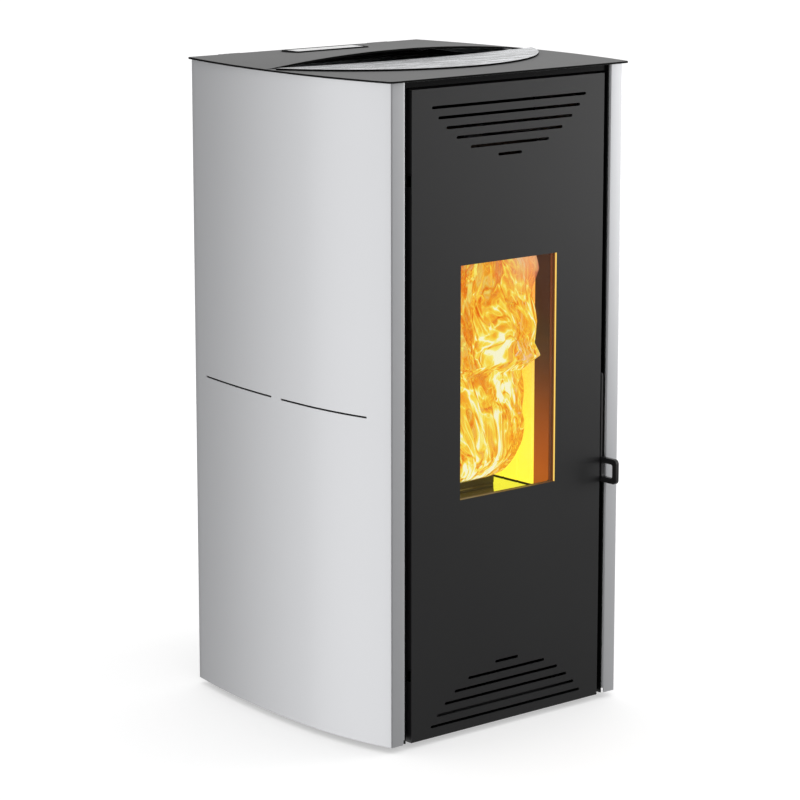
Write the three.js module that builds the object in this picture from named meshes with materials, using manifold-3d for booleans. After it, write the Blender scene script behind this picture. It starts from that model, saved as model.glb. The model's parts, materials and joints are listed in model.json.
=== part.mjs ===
// Free-standing pellet stove: bowed sheet casing, full-height glazed fire door, arched hopper lid,
// and the working parts inside. Millimetres, +Z up, X to the viewer's right, Y towards the back.
// Sizes below are measured from the front face of the casing (Y = 0) and from the floor (Z = 0).

import * as THREE from 'three';
import { mergeVertices } from 'three/addons/utils/BufferGeometryUtils.js';
import Module from 'manifold-3d';

const wasm = await Module();
wasm.setup();

// ---------------------------------------------------------------- driving dimensions

// Clearances
const fit = 0.3;
const pinGap = 0.35;

// Casing
const floorGap = 10;
const casingTop = 996.7;
const sheet = 2;
const casingFrontHalf = 230.1;
const casingFrontBow = 24.2;
const casingRearBow = 31.9;
const casingCrestHalf = casingFrontHalf + casingFrontBow;
const casingRearHalf = casingCrestHalf - casingRearBow;
const casingDepth = 482.5;
const casingCrestY = 170;
const frontFlange = 25.8;
const flangeInner = casingFrontHalf - frontFlange;
const hemDepth = 8;
const hemNotch = 7.5;
const rearFlange = 26;
const slitZ = 506;
const slitHeight = 2.4;
const slitFrontFrom = 44;
const slitLength = 184;
const slitBridge = 26;
const slitRearInset = 38.5;
const slitFrontTo = slitFrontFrom + slitLength;
const slitRearFrom = slitFrontTo + slitBridge;
const slitRearTo = casingDepth - slitRearInset;

// Top plate, air deflector and hopper lid
const plate = 3;
const plateZ = casingTop + fit;
const plateFrontOverhang = 6.8;
const plateCrestOverhang = 6.1;
const plateRearOverhang = 8.8;
const plateRearSetback = 4.5;
const plateFrontY = -plateFrontOverhang;
const plateRearY = casingDepth - plateRearSetback;
const plateFrontHalf = casingFrontHalf + plateFrontOverhang;
const plateCrestHalf = casingCrestHalf + plateCrestOverhang;
const plateRearHalf = casingRearHalf + plateRearOverhang;
const plateCrestSetback = 35;
const plateCrestY = casingCrestY + plateCrestSetback;
const plateCorner = 6;
const seamY = 248.3;
const seamGap = 0.6;
const outletSideGap = 4.1;
const outletHalf = casingFrontHalf - outletSideGap;
const outletDepth = 52.3;
const outletFrontY = seamY - outletDepth;
const deflectorThick = 3;
const deflectorFrontY = 74.6;
const deflectorFrontRadius = 290;
const deflectorRearY = 206;
const deflectorRearRadius = 1330;
const deflectorLip = 14;
const deflectorLipInset = 21;
const deflectorLipHalf = outletHalf - deflectorLipInset;
const lidRise = 14.6;

// Front door
const doorSideGap = 12.3;
const doorTopGap = 12.2;
const doorHalf = flangeInner - doorSideGap;
const doorBottom = floorGap;
const doorTop = casingTop - doorTopGap;
const doorDepth = 22;
const doorSkin = 2;
const windowHalf = 96.5;
const windowBottom = 367.6;
const windowTop = 720.4;
const revealDepth = 6;
const revealWall = 2;
const slotHeight = 4.5;
const slotPitch = 15.5;
const slotTopInset = 28.1;
const slotTopZ = doorTop - slotTopInset;
const slotBottomInset = 16.8;
const slotBottomZ = doorBottom + slotBottomInset;
const slotRows = 6;
const slotLongHalf = 153.7;
const slotArcRise = 79;
const glassThick = 4;
const glassOverlap = 8;
const glassSealThick = 1.7;
const innerFrameThick = 8;
const innerFrameLap = 24;
const innerFrameFoot = 12;
const innerFrameHead = 21;
const innerFlare = 8.5;
const gasketWidth = 10;
const gasketInset = 4;

// Door hinge
const hingeInset = 6;
const hingeX = hingeInset - doorHalf;
const hingeY = 10;
const hingePinRadius = 4;
const hingePinLength = 22;
const hingeBracketThick = 4;
const hingeBracketHalf = 4.5;
const hingeBracketNose = 4.5;
const hingeFootDrop = 14;
const hingeFootThick = 2.5;
const hingeLowRise = 110;
const hingeLowZ = doorBottom + hingeLowRise;
const hingeHighDrop = 124.5;
const hingeHighZ = doorTop - hingeHighDrop;
const lugThick = 8;
const hingeNotchRoom = 16;

// Handle and latch
const leverThick = 3.2;
const leverGap = 3.3;
const leverX = doorHalf + leverGap;
const leverFrontY = 1;
const leverDepth = 17;
const leverRise = 15.5;
const loopDrop = 156;
const loopHeight = 39;
const loopReach = 33;
const loopWidth = 6;
const loopBar = 8.5;
const loopCorner = 7;
const axleY = 10;
const axleZ = 508;
const leverTopZ = axleZ + leverRise;
const loopBottom = axleZ - loopDrop;
const axleRadius = 5;
const hookThick = 4;
const hookInset = 7;
const hookReach = 42;
const keeperRadius = 5;
const keeperY = 38;
const keeperDrop = 12;
const hookEyeHalf = 5.5;
const hookDrop = 24;
const hookBar = 5;
const keeperCheek = 3;
const keeperReach = 10;

// Front frame and jambs
const frameY = 24;
const jambGap = 0.8;
const jambOuter = flangeInner - jambGap;
const jambFrontY = 2;
const headerY = 6;
const headerGap = 3;
const headerBottom = doorTop + headerGap;
const mouthHalf = 108;
const ventWindowHalf = 158;
const ventWindowHeight = 92;

// Firebox
const fireWall = 4;
const fireHalf = 126;
const fireRearY = 244;
const fireStepY = 59;
const fireBottom = 250;
const fireTop = 804;
const mouthSill = 6;
const mouthBottom = fireBottom + mouthSill;
const mouthHead = 39;
const mouthTop = fireTop - mouthHead;
const hearthZ = 347;
const fireFlange = 32;
const fireFlangeHalf = mouthHalf + fireFlange;
const fireFlangeFoot = 14;
const fireFlangeHead = 25;
const liningThick = 15;
const liningDrop = 25;
const liningTop = mouthTop - liningDrop;
const liningGap = 1;
const liningInner = fireHalf - fireWall - liningThick - liningGap;
const fluteCount = 5;
const fluteDepth = 1.5;
const backLiningThick = 14;
const backRibs = 7;
const baffleThick = 8;
const baffleFrontY = 92;
const baffleNose = 10;
const gasWindowHalf = 70;
const gasWindowFrontY = 140;
const gasWindowRearY = 220;

// Burn pot and ash pan
const potHalf = 65;
const potFrontY = 103;
const potRearY = 213;
const potBelowHearth = 47;
const potBottom = hearthZ - potBelowHearth;
const potAboveHearth = 21;
const potTop = hearthZ + potAboveHearth;
const potTaper = 10;
const potTaperDeep = 8;
const potWall = 5;
const potRim = 7;
const potHoleRows = 3;
const potHoleColumns = 5;
const potHoleRadius = 3;
const ashSideGap = 4;
const ashHalf = mouthHalf - ashSideGap;
const ashFrontY = 36;
const ashRearGap = 16;
const ashRearY = fireRearY - ashRearGap;
const ashBelowHearth = 53;
const ashTop = hearthZ - ashBelowHearth;
const ashWall = 1.5;
const ashPullHalf = 40;
const ashPullReach = 8;
const igniterRadius = 5;
const igniterRise = 24;
const igniterZ = potBottom + igniterRise;
const igniterTail = 60;

// Heat exchanger and air duct
const exchangerHalf = 120;
const exchangerFrontY = 70;
const exchangerRearY = 240;
const exchangerRise = 92;
const exchangerTop = fireTop + exchangerRise;
const exchangerPlate = 3;
const exchangerTubeRadius = 15;
const exchangerTubeWall = 2;
const exchangerTubePitch = 50;
const exchangerRowPitch = 40;
const ductRearY = 262;

// Pellet hopper
const hopperSideGap = 32.4;
const hopperHalf = casingRearHalf - hopperSideGap;
const hopperFrontGap = 10;
const hopperFrontY = ductRearY + hopperFrontGap;
const hopperRearRoom = 82.5;
const hopperRearY = casingDepth - hopperRearRoom;
const hopperRimDrop = 11.7;
const hopperRim = casingTop - hopperRimDrop;
const hopperStraight = 225;
const hopperShoulder = hopperRim - hopperStraight;
const hopperWall = 2;
const hopperFlange = 7;
const hopperMouthHalf = 32;
const hopperMouthDepth = 62;
const hopperMouthFront = hopperRearY - hopperMouthDepth;
const grilleDrop = 45;
const grilleZ = hopperRim - grilleDrop;
const grilleBar = 4;
const grilleSlots = 9;
const grilleGap = 0.4;
const sealHeight = 6;

// Auger
const augerLowSetback = 5;
const augerLowY = hopperRearY - augerLowSetback;
const augerLowZ = 460;
const hopperMouthRise = 115;
const hopperMouthZ = augerLowZ + hopperMouthRise;
const augerTilt = Math.PI / 4;
const augerLength = 170;
const augerBore = 26;
const augerTubeWall = 3;
const augerScrewRadius = 23;
const augerShaftRadius = 7;
const augerPitch = 34;
const augerFlight = 3;
const augerSteps = 12;
const gearboxWidth = 56;
const gearboxHeight = 56;
const gearboxDepth = 22;
const gearDisc = 4;
const gearMotorRadius = 20;
const gearMotorLength = 30;
const chuteHalf = 30;
const chuteWall = 2.5;
const chuteReach = 46;
const chuteKneeRise = 27;

// Exhaust fan, smoke duct and flue
const fanY = 370;
const fanZ = 200;
const fanX = 96;
const fanWidth = 60;
const fanWall = 2.5;
const scrollStart = 64;
const scrollEnd = 96;
const fanInletRadius = 30;
const impellerRadius = 54;
const impellerWidth = 34;
const impellerBlades = 8;
const motorShaftRadius = 5;
const exhaustMotorRadius = 36;
const exhaustMotorLength = 48;
const smokeWidth = 32;
const smokeWall = 3;
const smokeSill = 12;
const smokeLowZ = fireBottom + smokeSill;
const smokeHead = 9;
const smokeHighZ = hearthZ - smokeHead;
const smokeReach = 56;
const smokeBendY = fireRearY + smokeReach;
const smokeBehindFan = 46;
const smokeRearY = fanY + smokeBehindFan;
const smokeAboveFan = 50;
const smokeRearZ = fanZ + smokeAboveFan;
const smokeBeforeFan = 38;
const smokeFootY = fanY - smokeBeforeFan;
const smokeBelowFan = 42;
const smokeFootZ = fanZ - smokeBelowFan;
const flueRadius = 40;
const flueWall = 2;
const flueZ = 138;
const flueReach = 54.5;
const flueEndY = casingDepth + flueReach;
const flueFlangeHalf = 46;
const flueBead = 2;
const airX = -90;
const airZ = 300;
const airRadius = 25;
const airReach = 17.5;
const airEndY = casingDepth + airReach;
const airFlange = 8;

// Room air blower
const blowerY = 150;
const blowerZ = 112;
const blowerLeftX = -150;
const blowerLength = 220;
const blowerShell = 2;
const blowerRoom = 10;
const blowerEndHalf = 48;
const blowerOutletRise = 70;
const rotorRadius = 32;
const rotorBlades = 14;
const rotorDisc = 2;
const blowerMotorRadius = 30;
const blowerMotorLength = 62;

// Base and feet
const baseZ = 12;
const baseThick = 3;
const baseRim = 25;
const footSideInset = 60.1;
const footX = casingFrontHalf - footSideInset;
const footFrontY = 70;
const footRearInset = 52.5;
const footRearY = casingDepth - footRearInset;
const footRadius = 20;
const footPad = 7;
const footStem = 5;
const footStemTop = 34;

// Console
const consoleHalf = 73;
const consoleSetback = 8.5;
const consoleFrontY = hopperRearY + consoleSetback;
const consoleDepth = 41.5;
const consoleRearY = consoleFrontY + consoleDepth;
const consoleProud = 3;
const consoleGlass = 1.5;
const consoleBoxHalf = 92;
const consoleBoxDrop = 3;
const consoleBoxTop = hopperRim - consoleBoxDrop;
const consoleBoxHeight = 32;
const consoleBoxBottom = consoleBoxTop - consoleBoxHeight;

// Rear panel fittings
const rearPanelDrop = 3.2;
const rearPanelTop = casingTop - rearPanelDrop;
const lidHingeLeaf = 30;
const boardX = -166;
const boardZ = 415;
const boardWidth = 80;
const boardHeight = 150;
const boardThick = 2;
const boardStandOff = 20;
const standOffRadius = 3;
const standOffInset = 8;
const boardParts = [
  { x: -18, z: -43, width: 32, height: 40, depth: 24 },
  { x: 19, z: -53, width: 26, height: 20, depth: 14 },
  { x: 19, z: -27, width: 26, height: 20, depth: 14 },
  { x: -3, z: 59, width: 58, height: 12, depth: 10 },
  { x: 3, z: 22, width: 26, height: 26, depth: 2 },
];
const capacitorX = -20;
const capacitorZ = -3;
const capacitorRadius = 8;
const capacitorLength = 22;
const pressureX = 160;
const pressureZ = 400;
const pressureRadius = 24;
const pressureDepth = 22;
const pressureStandOff = 4;
const pressureBracketHalf = 30;
const pressurePortRadius = 3;
const pressurePortPitch = 18;
const pressurePortLength = 14;
const thermostatHalf = 18;
const thermostatHeight = 40;
const thermostatDepth = 22;
const thermostatNose = 6;
const thermostatNoseReach = 8;
const inletX = -170;
const inletZ = 120;
const inletWidth = 50;
const inletHeight = 58;
const switchPivotZ = 136;
const capX = -170;
const capZ = 200;
const capRadius = 11;
const capLength = 12;
const louvreRows = 5;
const louvrePitch = 22;
const louvreLength = 110;
const louvreGap = 5;
const lidHingeX = 150;
const knuckleRadius = 3;
const knuckleGap = 0.5;
const lidHingeY = plateRearY + knuckleRadius + knuckleGap;
const lidHingeZ = plateZ;
const knuckleLength = 20;
const lidPinRadius = 1.5;

// ---------------------------------------------------------------- solid helpers

// A closed three.js geometry as a solid with merged corners and outward faces.
function solid(geometry) {
  geometry.deleteAttribute('normal');
  geometry.deleteAttribute('uv');
  const merged = mergeVertices(geometry, 1e-4);
  const corners = merged.attributes.position.array;
  const faces = [];
  let volume = 0;
  for (let i = 0; i < merged.index.count; i += 3) {
    const [a, b, c] = [0, 1, 2].map((k) => merged.index.getX(i + k));
    if (a === b || b === c || c === a) continue;
    faces.push(a, b, c);
    const [p, q, r] = [a, b, c].map((v) => new THREE.Vector3().fromArray(corners, 3 * v));
    volume += p.dot(q.cross(r));
  }
  if (volume < 0) faces.reverse();
  return new wasm.Manifold(new wasm.Mesh({
    numProp: 3,
    vertProperties: new Float32Array(corners),
    triVerts: new Uint32Array(faces),
  }));
}

// The joined solid of several pieces that are welded or cast as one.
function join(first, ...rest) {
  return rest.reduce((sum, piece) => sum.add(piece), first);
}

// A solid with other solids cut out of it.
function cut(body, ...tools) {
  return tools.reduce((left, tool) => left.subtract(tool), body);
}

// A box between two corners.
function block([x0, x1], [y0, y1], [z0, z1]) {
  const geometry = new THREE.BoxGeometry(x1 - x0, y1 - y0, z1 - z0);
  geometry.translate((x0 + x1) / 2, (y0 + y1) / 2, (z0 + z1) / 2);
  return solid(geometry);
}

// An outline in plan (X, Y), raised from z0 to z1.
function planPrism(shape, z0, z1, curveSegments = 10) {
  const geometry = new THREE.ExtrudeGeometry(shape, { depth: z1 - z0, bevelEnabled: false, curveSegments });
  geometry.translate(0, 0, z0);
  return solid(geometry);
}

// An outline seen from the front (X, Z), pushed back from y0 to y1.
function frontPrism(shape, y0, y1, curveSegments = 8) {
  const geometry = new THREE.ExtrudeGeometry(shape, { depth: y1 - y0, bevelEnabled: false, curveSegments });
  geometry.rotateX(Math.PI / 2);
  geometry.translate(0, y1, 0);
  return solid(geometry);
}

// An outline seen from the side (Y, Z), drawn out from x0 to x1.
function sidePrism(shape, x0, x1, curveSegments = 8) {
  const geometry = new THREE.ExtrudeGeometry(shape, { depth: x1 - x0, bevelEnabled: false, curveSegments });
  geometry.rotateX(Math.PI / 2);
  geometry.rotateZ(Math.PI / 2);
  geometry.translate(x0, 0, 0);
  return solid(geometry);
}

// A round bar along one axis, from one end to the other.
function bar(axis, radius, [u, v], [from, to], segments = 20) {
  const geometry = new THREE.CylinderGeometry(radius, radius, to - from, segments);
  const middle = (from + to) / 2;
  if (axis === 'x') geometry.rotateZ(Math.PI / 2).translate(middle, u, v);
  if (axis === 'y') geometry.translate(u, middle, v);
  if (axis === 'z') geometry.rotateX(Math.PI / 2).translate(u, v, middle);
  return solid(geometry);
}

// A pipe along one axis.
function pipe(axis, radius, wall, centre, [from, to], segments = 20) {
  const bore = bar(axis, radius - wall, centre, [from - 1, to + 1], segments);
  return cut(bar(axis, radius, centre, [from, to], segments), bore);
}

// A turned piece about its own upright axis: [radius, height] points from the axis and back to it.
function turned(points, segments = 24) {
  const profile = points.map(([radius, height]) => new THREE.Vector2(radius, height));
  const geometry = new THREE.LatheGeometry(profile, segments);
  geometry.rotateX(Math.PI / 2);
  return solid(geometry);
}

function outline(points) {
  return new THREE.Shape(points.map(([u, v]) => new THREE.Vector2(u, v)));
}

// A rectangle with rounded corners.
function roundedRect([u0, u1], [v0, v1], radius) {
  const shape = new THREE.Shape();
  shape.moveTo(u0 + radius, v0);
  shape.lineTo(u1 - radius, v0);
  shape.absarc(u1 - radius, v0 + radius, radius, -Math.PI / 2, 0);
  shape.lineTo(u1, v1 - radius);
  shape.absarc(u1 - radius, v1 - radius, radius, 0, Math.PI / 2);
  shape.lineTo(u0 + radius, v1);
  shape.absarc(u0 + radius, v1 - radius, radius, Math.PI / 2, Math.PI);
  shape.lineTo(u0, v0 + radius);
  shape.absarc(u0 + radius, v0 + radius, radius, Math.PI, 1.5 * Math.PI);
  return shape;
}

// A box that narrows from one level rectangle to another.
function funnel(low, high) {
  const corners = [low, high].flatMap(({ x: [x0, x1], y: [y0, y1], z }) => [
    [x0, y0, z], [x1, y0, z], [x1, y1, z], [x0, y1, z],
  ]);
  const geometry = new THREE.BufferGeometry();
  geometry.setAttribute('position', new THREE.Float32BufferAttribute(corners.flat(), 3));
  const sides = [0, 1, 2, 3].flatMap((i) => {
    const next = (i + 1) % 4;
    return [i, next, next + 4, i, next + 4, i + 4];
  });
  geometry.setIndex([0, 2, 1, 0, 3, 2, 4, 5, 6, 4, 6, 7, ...sides]);
  return solid(geometry);
}

// Turns a solid into the flat-shaded mesh of one named piece.
function piece(name, body, finish) {
  const mesh = body.getMesh();
  const geometry = new THREE.BufferGeometry();
  const corners = new Float32Array(3 * mesh.numVert);
  for (let i = 0; i < mesh.numVert; i += 1) {
    for (let k = 0; k < 3; k += 1) corners[3 * i + k] = mesh.vertProperties[mesh.numProp * i + k];
  }
  geometry.setAttribute('position', new THREE.BufferAttribute(corners, 3));
  geometry.setIndex(new THREE.BufferAttribute(new Uint32Array(mesh.triVerts), 1));
  geometry.computeVertexNormals();
  const result = new THREE.Mesh(geometry, new THREE.MeshStandardMaterial({ flatShading: true, ...finish }));
  result.name = name;
  return result;
}

// ---------------------------------------------------------------- finishes

const silverPaint = { color: 0xc9cbce, roughness: 0.45, metalness: 0.5 };
const blackPaint = { color: 0x2b2b2d, roughness: 0.55, metalness: 0.3 };
const greyPaint = { color: 0x565658, roughness: 0.5, metalness: 0.4 };
const brushedSteel = { color: 0xc4c6c9, roughness: 0.3, metalness: 1 };
const castIron = { color: 0x35352f, roughness: 0.8, metalness: 0.4 };
const fireSteel = { color: 0x4a4038, roughness: 0.7, metalness: 0.5 };
const firebrick = { color: 0xd8b25a, roughness: 0.9, metalness: 0 };
const galvanised = { color: 0x9b9fa3, roughness: 0.45, metalness: 0.9 };
const ropeSeal = { color: 0x3c3a38, roughness: 0.95, metalness: 0 };
const silicone = { color: 0x262626, roughness: 0.85, metalness: 0 };
const plastic = { color: 0x1b1b1d, roughness: 0.5, metalness: 0 };
const boardGreen = { color: 0x1f5a36, roughness: 0.6, metalness: 0 };
const clearGlass = { color: 0x3a2a1e, roughness: 0.08, metalness: 0 };
const screenGlass = { color: 0xe8eaec, roughness: 0.08, metalness: 0 };
const copper = { color: 0x8f6b45, roughness: 0.5, metalness: 0.8 };

// ---------------------------------------------------------------- bowed side line

// Half-width of the body at a depth y: one arc in front of the crest and a flatter one behind it.
// "inset" moves the line inwards by a wall.
function bow({ frontY, frontHalf, crestY, crestHalf, rearY, rearHalf }) {
  const arcRadius = (run, drop) => (run * run + drop * drop) / (2 * drop);
  const frontRadius = arcRadius(crestY - frontY, crestHalf - frontHalf);
  const rearRadius = arcRadius(rearY - crestY, crestHalf - rearHalf);
  return (y, inset = 0) => {
    const radius = (y < crestY ? frontRadius : rearRadius) - inset;
    return crestHalf - inset - radius + Math.sqrt(radius * radius - (y - crestY) ** 2);
  };
}

// Points along a bowed line between two depths.
function bowPoints(line, from, to, steps, inset = 0) {
  return Array.from({ length: steps + 1 }, (_, i) => {
    const y = from + ((to - from) * i) / steps;
    return [line(y, inset), y];
  });
}

const mirrored = (points) => points.map(([x, y]) => [-x, y]).reverse();

const casingLine = bow({
  frontY: 0, frontHalf: casingFrontHalf, crestY: casingCrestY, crestHalf: casingCrestHalf,
  rearY: casingDepth, rearHalf: casingRearHalf,
});
const plateLine = bow({
  frontY: plateFrontY, frontHalf: plateFrontHalf, crestY: plateCrestY, crestHalf: plateCrestHalf,
  rearY: plateRearY, rearHalf: plateRearHalf,
});

// ---------------------------------------------------------------- casing

const rearPanelY = casingDepth - sheet;

// One bowed side panel with its front flange, hem and rear return, and the two slits at mid height.
function sidePanel(side) {
  const outer = bowPoints(casingLine, 0, casingDepth, 22);
  const inner = bowPoints(casingLine, sheet, casingDepth - sheet, 22, sheet).reverse();
  const rearInner = casingRearHalf - rearFlange;
  const profile = [
    [flangeInner, hemDepth], [flangeInner, 0], ...outer,
    [rearInner, casingDepth], [rearInner, casingDepth - sheet], ...inner,
    [flangeInner + sheet, sheet], [flangeInner + sheet, hemDepth],
  ];
  const points = side > 0 ? profile : mirrored(profile);
  const across = (from, to) => (side > 0 ? [from, to] : [-to, -from]);
  const slit = (from, to) => block(
    across(rearInner, casingCrestHalf + 1), [from, to], [slitZ - slitHeight / 2, slitZ + slitHeight / 2],
  );
  const hemRelief = block(
    across(flangeInner - 1, flangeInner + sheet + 1), [-1, hemDepth + 1], [floorGap - 1, floorGap + hemNotch],
  );
  return cut(
    planPrism(outline(points), floorGap, casingTop),
    slit(slitFrontFrom, slitFrontTo), slit(slitRearFrom, slitRearTo), hemRelief,
  );
}

// Black front frame: the back plate of the door recess with its jambs, header and mouth.
function frontFrame() {
  const backPlate = block([-jambOuter, jambOuter], [frameY, frameY + sheet], [floorGap + 0.5, casingTop]);
  const jambs = [-1, 1].map((side) => {
    const across = side > 0 ? [jambOuter - sheet, jambOuter] : [-jambOuter, sheet - jambOuter];
    return block(across, [jambFrontY, frameY + 1], [floorGap + 0.5, casingTop]);
  });
  const header = join(
    block([-jambOuter, jambOuter], [headerY, headerY + sheet], [headerBottom, casingTop]),
    block([-jambOuter, jambOuter], [headerY, frameY + 1], [headerBottom, headerBottom + sheet]),
  );
  const mouth = block([-mouthHalf, mouthHalf], [frameY - 1, frameY + sheet + 1], [mouthBottom, mouthTop]);
  const ventWindow = (z) => block(
    [-ventWindowHalf, ventWindowHalf], [frameY - 1, frameY + sheet + 1], [z, z + ventWindowHeight],
  );
  const hookX = doorHalf - hookInset;
  const hookSlot = block(
    [hookX - hookThick - 3, hookX + 3], [frameY - 1, frameY + sheet + 1], [axleZ - 2 * hookDrop, axleZ + 20],
  );
  return cut(
    join(backPlate, ...jambs, header),
    mouth, ventWindow(slotTopZ - ventWindowHeight + 8), ventWindow(slotBottomZ - 4), hookSlot,
  );
}

// Rear panel with louvres and the cut-outs for flue, air inlet, mains inlet and reset cap.
function rearPanel() {
  const y = [rearPanelY - sheet, rearPanelY];
  const through = [y[0] - 1, y[1] + 1];
  const half = casingLine(casingDepth - sheet, sheet) - fit;
  const louvre = (x, z) => block([x - louvreLength / 2, x + louvreLength / 2], through, [z, z + louvreGap]);
  const hood = (x, z) => {
    const lip = outline([[y[1] - 0.5, z + louvreGap + 4], [y[1] + 4, z + 1], [y[1] + 4, z], [y[1] - 0.5, z + louvreGap + 2]]);
    return sidePrism(lip, x - louvreLength / 2, x + louvreLength / 2);
  };
  const places = [];
  for (let row = 0; row < louvreRows; row += 1) {
    for (const x of [-90, 90]) places.push([x, 760 + row * louvrePitch]);
  }
  const body = cut(
    block([-half, half], y, [baseZ + baseThick + fit, rearPanelTop]),
    ...places.map(([x, z]) => louvre(x, z)),
    bar('y', flueRadius + 1.5, [fanX + fanWidth / 2, flueZ], through, 28),
    bar('y', airRadius + 0.8, [airX, airZ], through, 24),
    bar('y', capRadius - 3, [capX, capZ], through, 16),
    block(
      [inletX - inletWidth / 2 + 3, inletX + inletWidth / 2 - 3], through,
      [inletZ - inletHeight / 2 + 3, inletZ + inletHeight / 2 - 3],
    ),
  );
  return join(body, ...places.map(([x, z]) => hood(x, z)));
}

// Base tray that follows the bowed sides, with an upturned rim, foot bosses and intake slots.
function baseTray() {
  const edge = (inset) => {
    const right = bowPoints(casingLine, frameY + sheet + fit + inset, rearPanelY - sheet - fit - inset, 8,
      sheet + 0.5 + inset);
    return outline([...right, ...mirrored(right)]);
  };
  const floorPlate = planPrism(edge(0), baseZ, baseZ + baseThick);
  const rim = cut(
    planPrism(edge(0), baseZ + baseThick - 0.5, baseZ + baseRim),
    planPrism(edge(sheet), baseZ + baseThick - 1, baseZ + baseRim + 1),
  );
  const feet = footPlaces();
  const bosses = feet.map(([x, y]) => bar('z', footStem + 5, [x, y], [baseZ + 1, baseZ + 16], 10));
  const holes = feet.map(([x, y]) => bar('z', footStem + pinGap, [x, y], [baseZ - 1, baseZ + 17], 12));
  const slots = [-1.5, 0, 1.5].map((i) => block(
    [blowerLeftX + 20, blowerLeftX + blowerLength - 20], [blowerY + 26 * i - 5, blowerY + 26 * i + 5],
    [baseZ - 1, baseZ + baseThick + 1],
  ));
  return cut(join(floorPlate, rim, ...bosses), ...holes, ...slots);
}

function footPlaces() {
  return [[-footX, footFrontY], [footX, footFrontY], [-footX, footRearY], [footX, footRearY]];
}

// Levelling foot, drawn standing on its own pad at the floor.
function levellingFoot() {
  return turned([
    [0, 0], [footRadius, 0], [footRadius, 4], [footRadius - 6, footPad], [9, footPad],
    [9, footPad + 3], [footStem, footPad + 3], [footStem, footStemTop], [0, footStemTop],
  ], 12);
}

// ---------------------------------------------------------------- top

// Top plate in front of the seam, cut out behind the deflector for the warm-air outlet.
function topPlate() {
  const shape = new THREE.Shape();
  const left = bowPoints(plateLine, seamY, plateFrontY + plateCorner, 12).map(([x, y]) => [-x, y]);
  const right = bowPoints(plateLine, plateFrontY + plateCorner, seamY, 12);
  shape.moveTo(-outletHalf, seamY);
  left.forEach(([x, y]) => shape.lineTo(x, y));
  shape.quadraticCurveTo(-plateFrontHalf, plateFrontY, plateCorner - plateFrontHalf, plateFrontY);
  shape.lineTo(plateFrontHalf - plateCorner, plateFrontY);
  shape.quadraticCurveTo(plateFrontHalf, plateFrontY, ...right[0]);
  right.slice(1).forEach(([x, y]) => shape.lineTo(x, y));
  shape.lineTo(outletHalf, seamY);
  shape.lineTo(outletHalf, outletFrontY);
  shape.lineTo(-outletHalf, outletFrontY);
  return planPrism(shape, plateZ, plateZ + plate, 4);
}

// Lens-shaped air deflector between two arcs, with a lip turned down along its rear edge.
function deflectorPlate() {
  const frontCentre = deflectorFrontY + deflectorFrontRadius;
  const rearCentre = deflectorRearY + deflectorRearRadius;
  const frontArc = (x) => frontCentre - Math.sqrt(deflectorFrontRadius ** 2 - x * x);
  const rearArc = (x) => rearCentre - Math.sqrt(deflectorRearRadius ** 2 - x * x);
  let tip = deflectorLipHalf;
  while (frontArc(tip + 0.5) < rearArc(tip + 0.5) - 1) tip += 0.5;
  const arcPoints = (arc, half, steps) => Array.from({ length: steps + 1 }, (_, i) => {
    const x = half * Math.sin((Math.PI / 2) * (-1 + (2 * i) / steps));
    return [x, arc(x)];
  });
  const lens = outline([...arcPoints(frontArc, tip, 30), ...arcPoints(rearArc, tip, 12).reverse()]);
  const lipFront = arcPoints((x) => rearArc(x) - sheet, deflectorLipHalf, 8);
  const lipRear = arcPoints(rearArc, deflectorLipHalf, 8).reverse();
  const top = plateZ + plate;
  return join(
    planPrism(lens, top, top + deflectorThick),
    planPrism(outline([...lipFront, ...lipRear]), top - deflectorLip, top + 0.5),
  );
}

// Arched sheet: the crown is highest in the middle of the front edge and fades to the flat rear edge.
function lidSheet() {
  const frontY = seamY + seamGap;
  const across = 16;
  const along = 5;
  const corners = [];
  for (const lift of [0, plate]) {
    for (let j = 0; j <= along; j += 1) {
      const t = j / along;
      const y = frontY + (plateRearY - frontY) * t;
      const half = plateLine(y);
      for (let i = 0; i <= across; i += 1) {
        const u = -1 + (2 * i) / across;
        corners.push(u * half, y, plateZ + lift + lidRise * (1 - u * u) * (1 - t) ** 2);
      }
    }
  }
  const row = across + 1;
  const layer = row * (along + 1);
  const faces = [];
  const quad = (a, b, c, d) => faces.push(a, b, c, a, c, d);
  for (let j = 0; j < along; j += 1) {
    for (let i = 0; i < across; i += 1) {
      const a = j * row + i;
      quad(a, a + row, a + row + 1, a + 1);
      quad(layer + a, layer + a + 1, layer + a + row + 1, layer + a + row);
    }
  }
  for (let i = 0; i < across; i += 1) {
    const rear = along * row + i;
    quad(i, i + 1, layer + i + 1, layer + i);
    quad(rear, layer + rear, layer + rear + 1, rear + 1);
  }
  for (let j = 0; j < along; j += 1) {
    const left = j * row;
    const right = left + across;
    quad(left, layer + left, layer + left + row, left + row);
    quad(right, right + row, layer + right + row, layer + right);
  }
  const geometry = new THREE.BufferGeometry();
  geometry.setAttribute('position', new THREE.Float32BufferAttribute(corners, 3));
  geometry.setIndex(faces);
  return solid(geometry);
}

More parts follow.
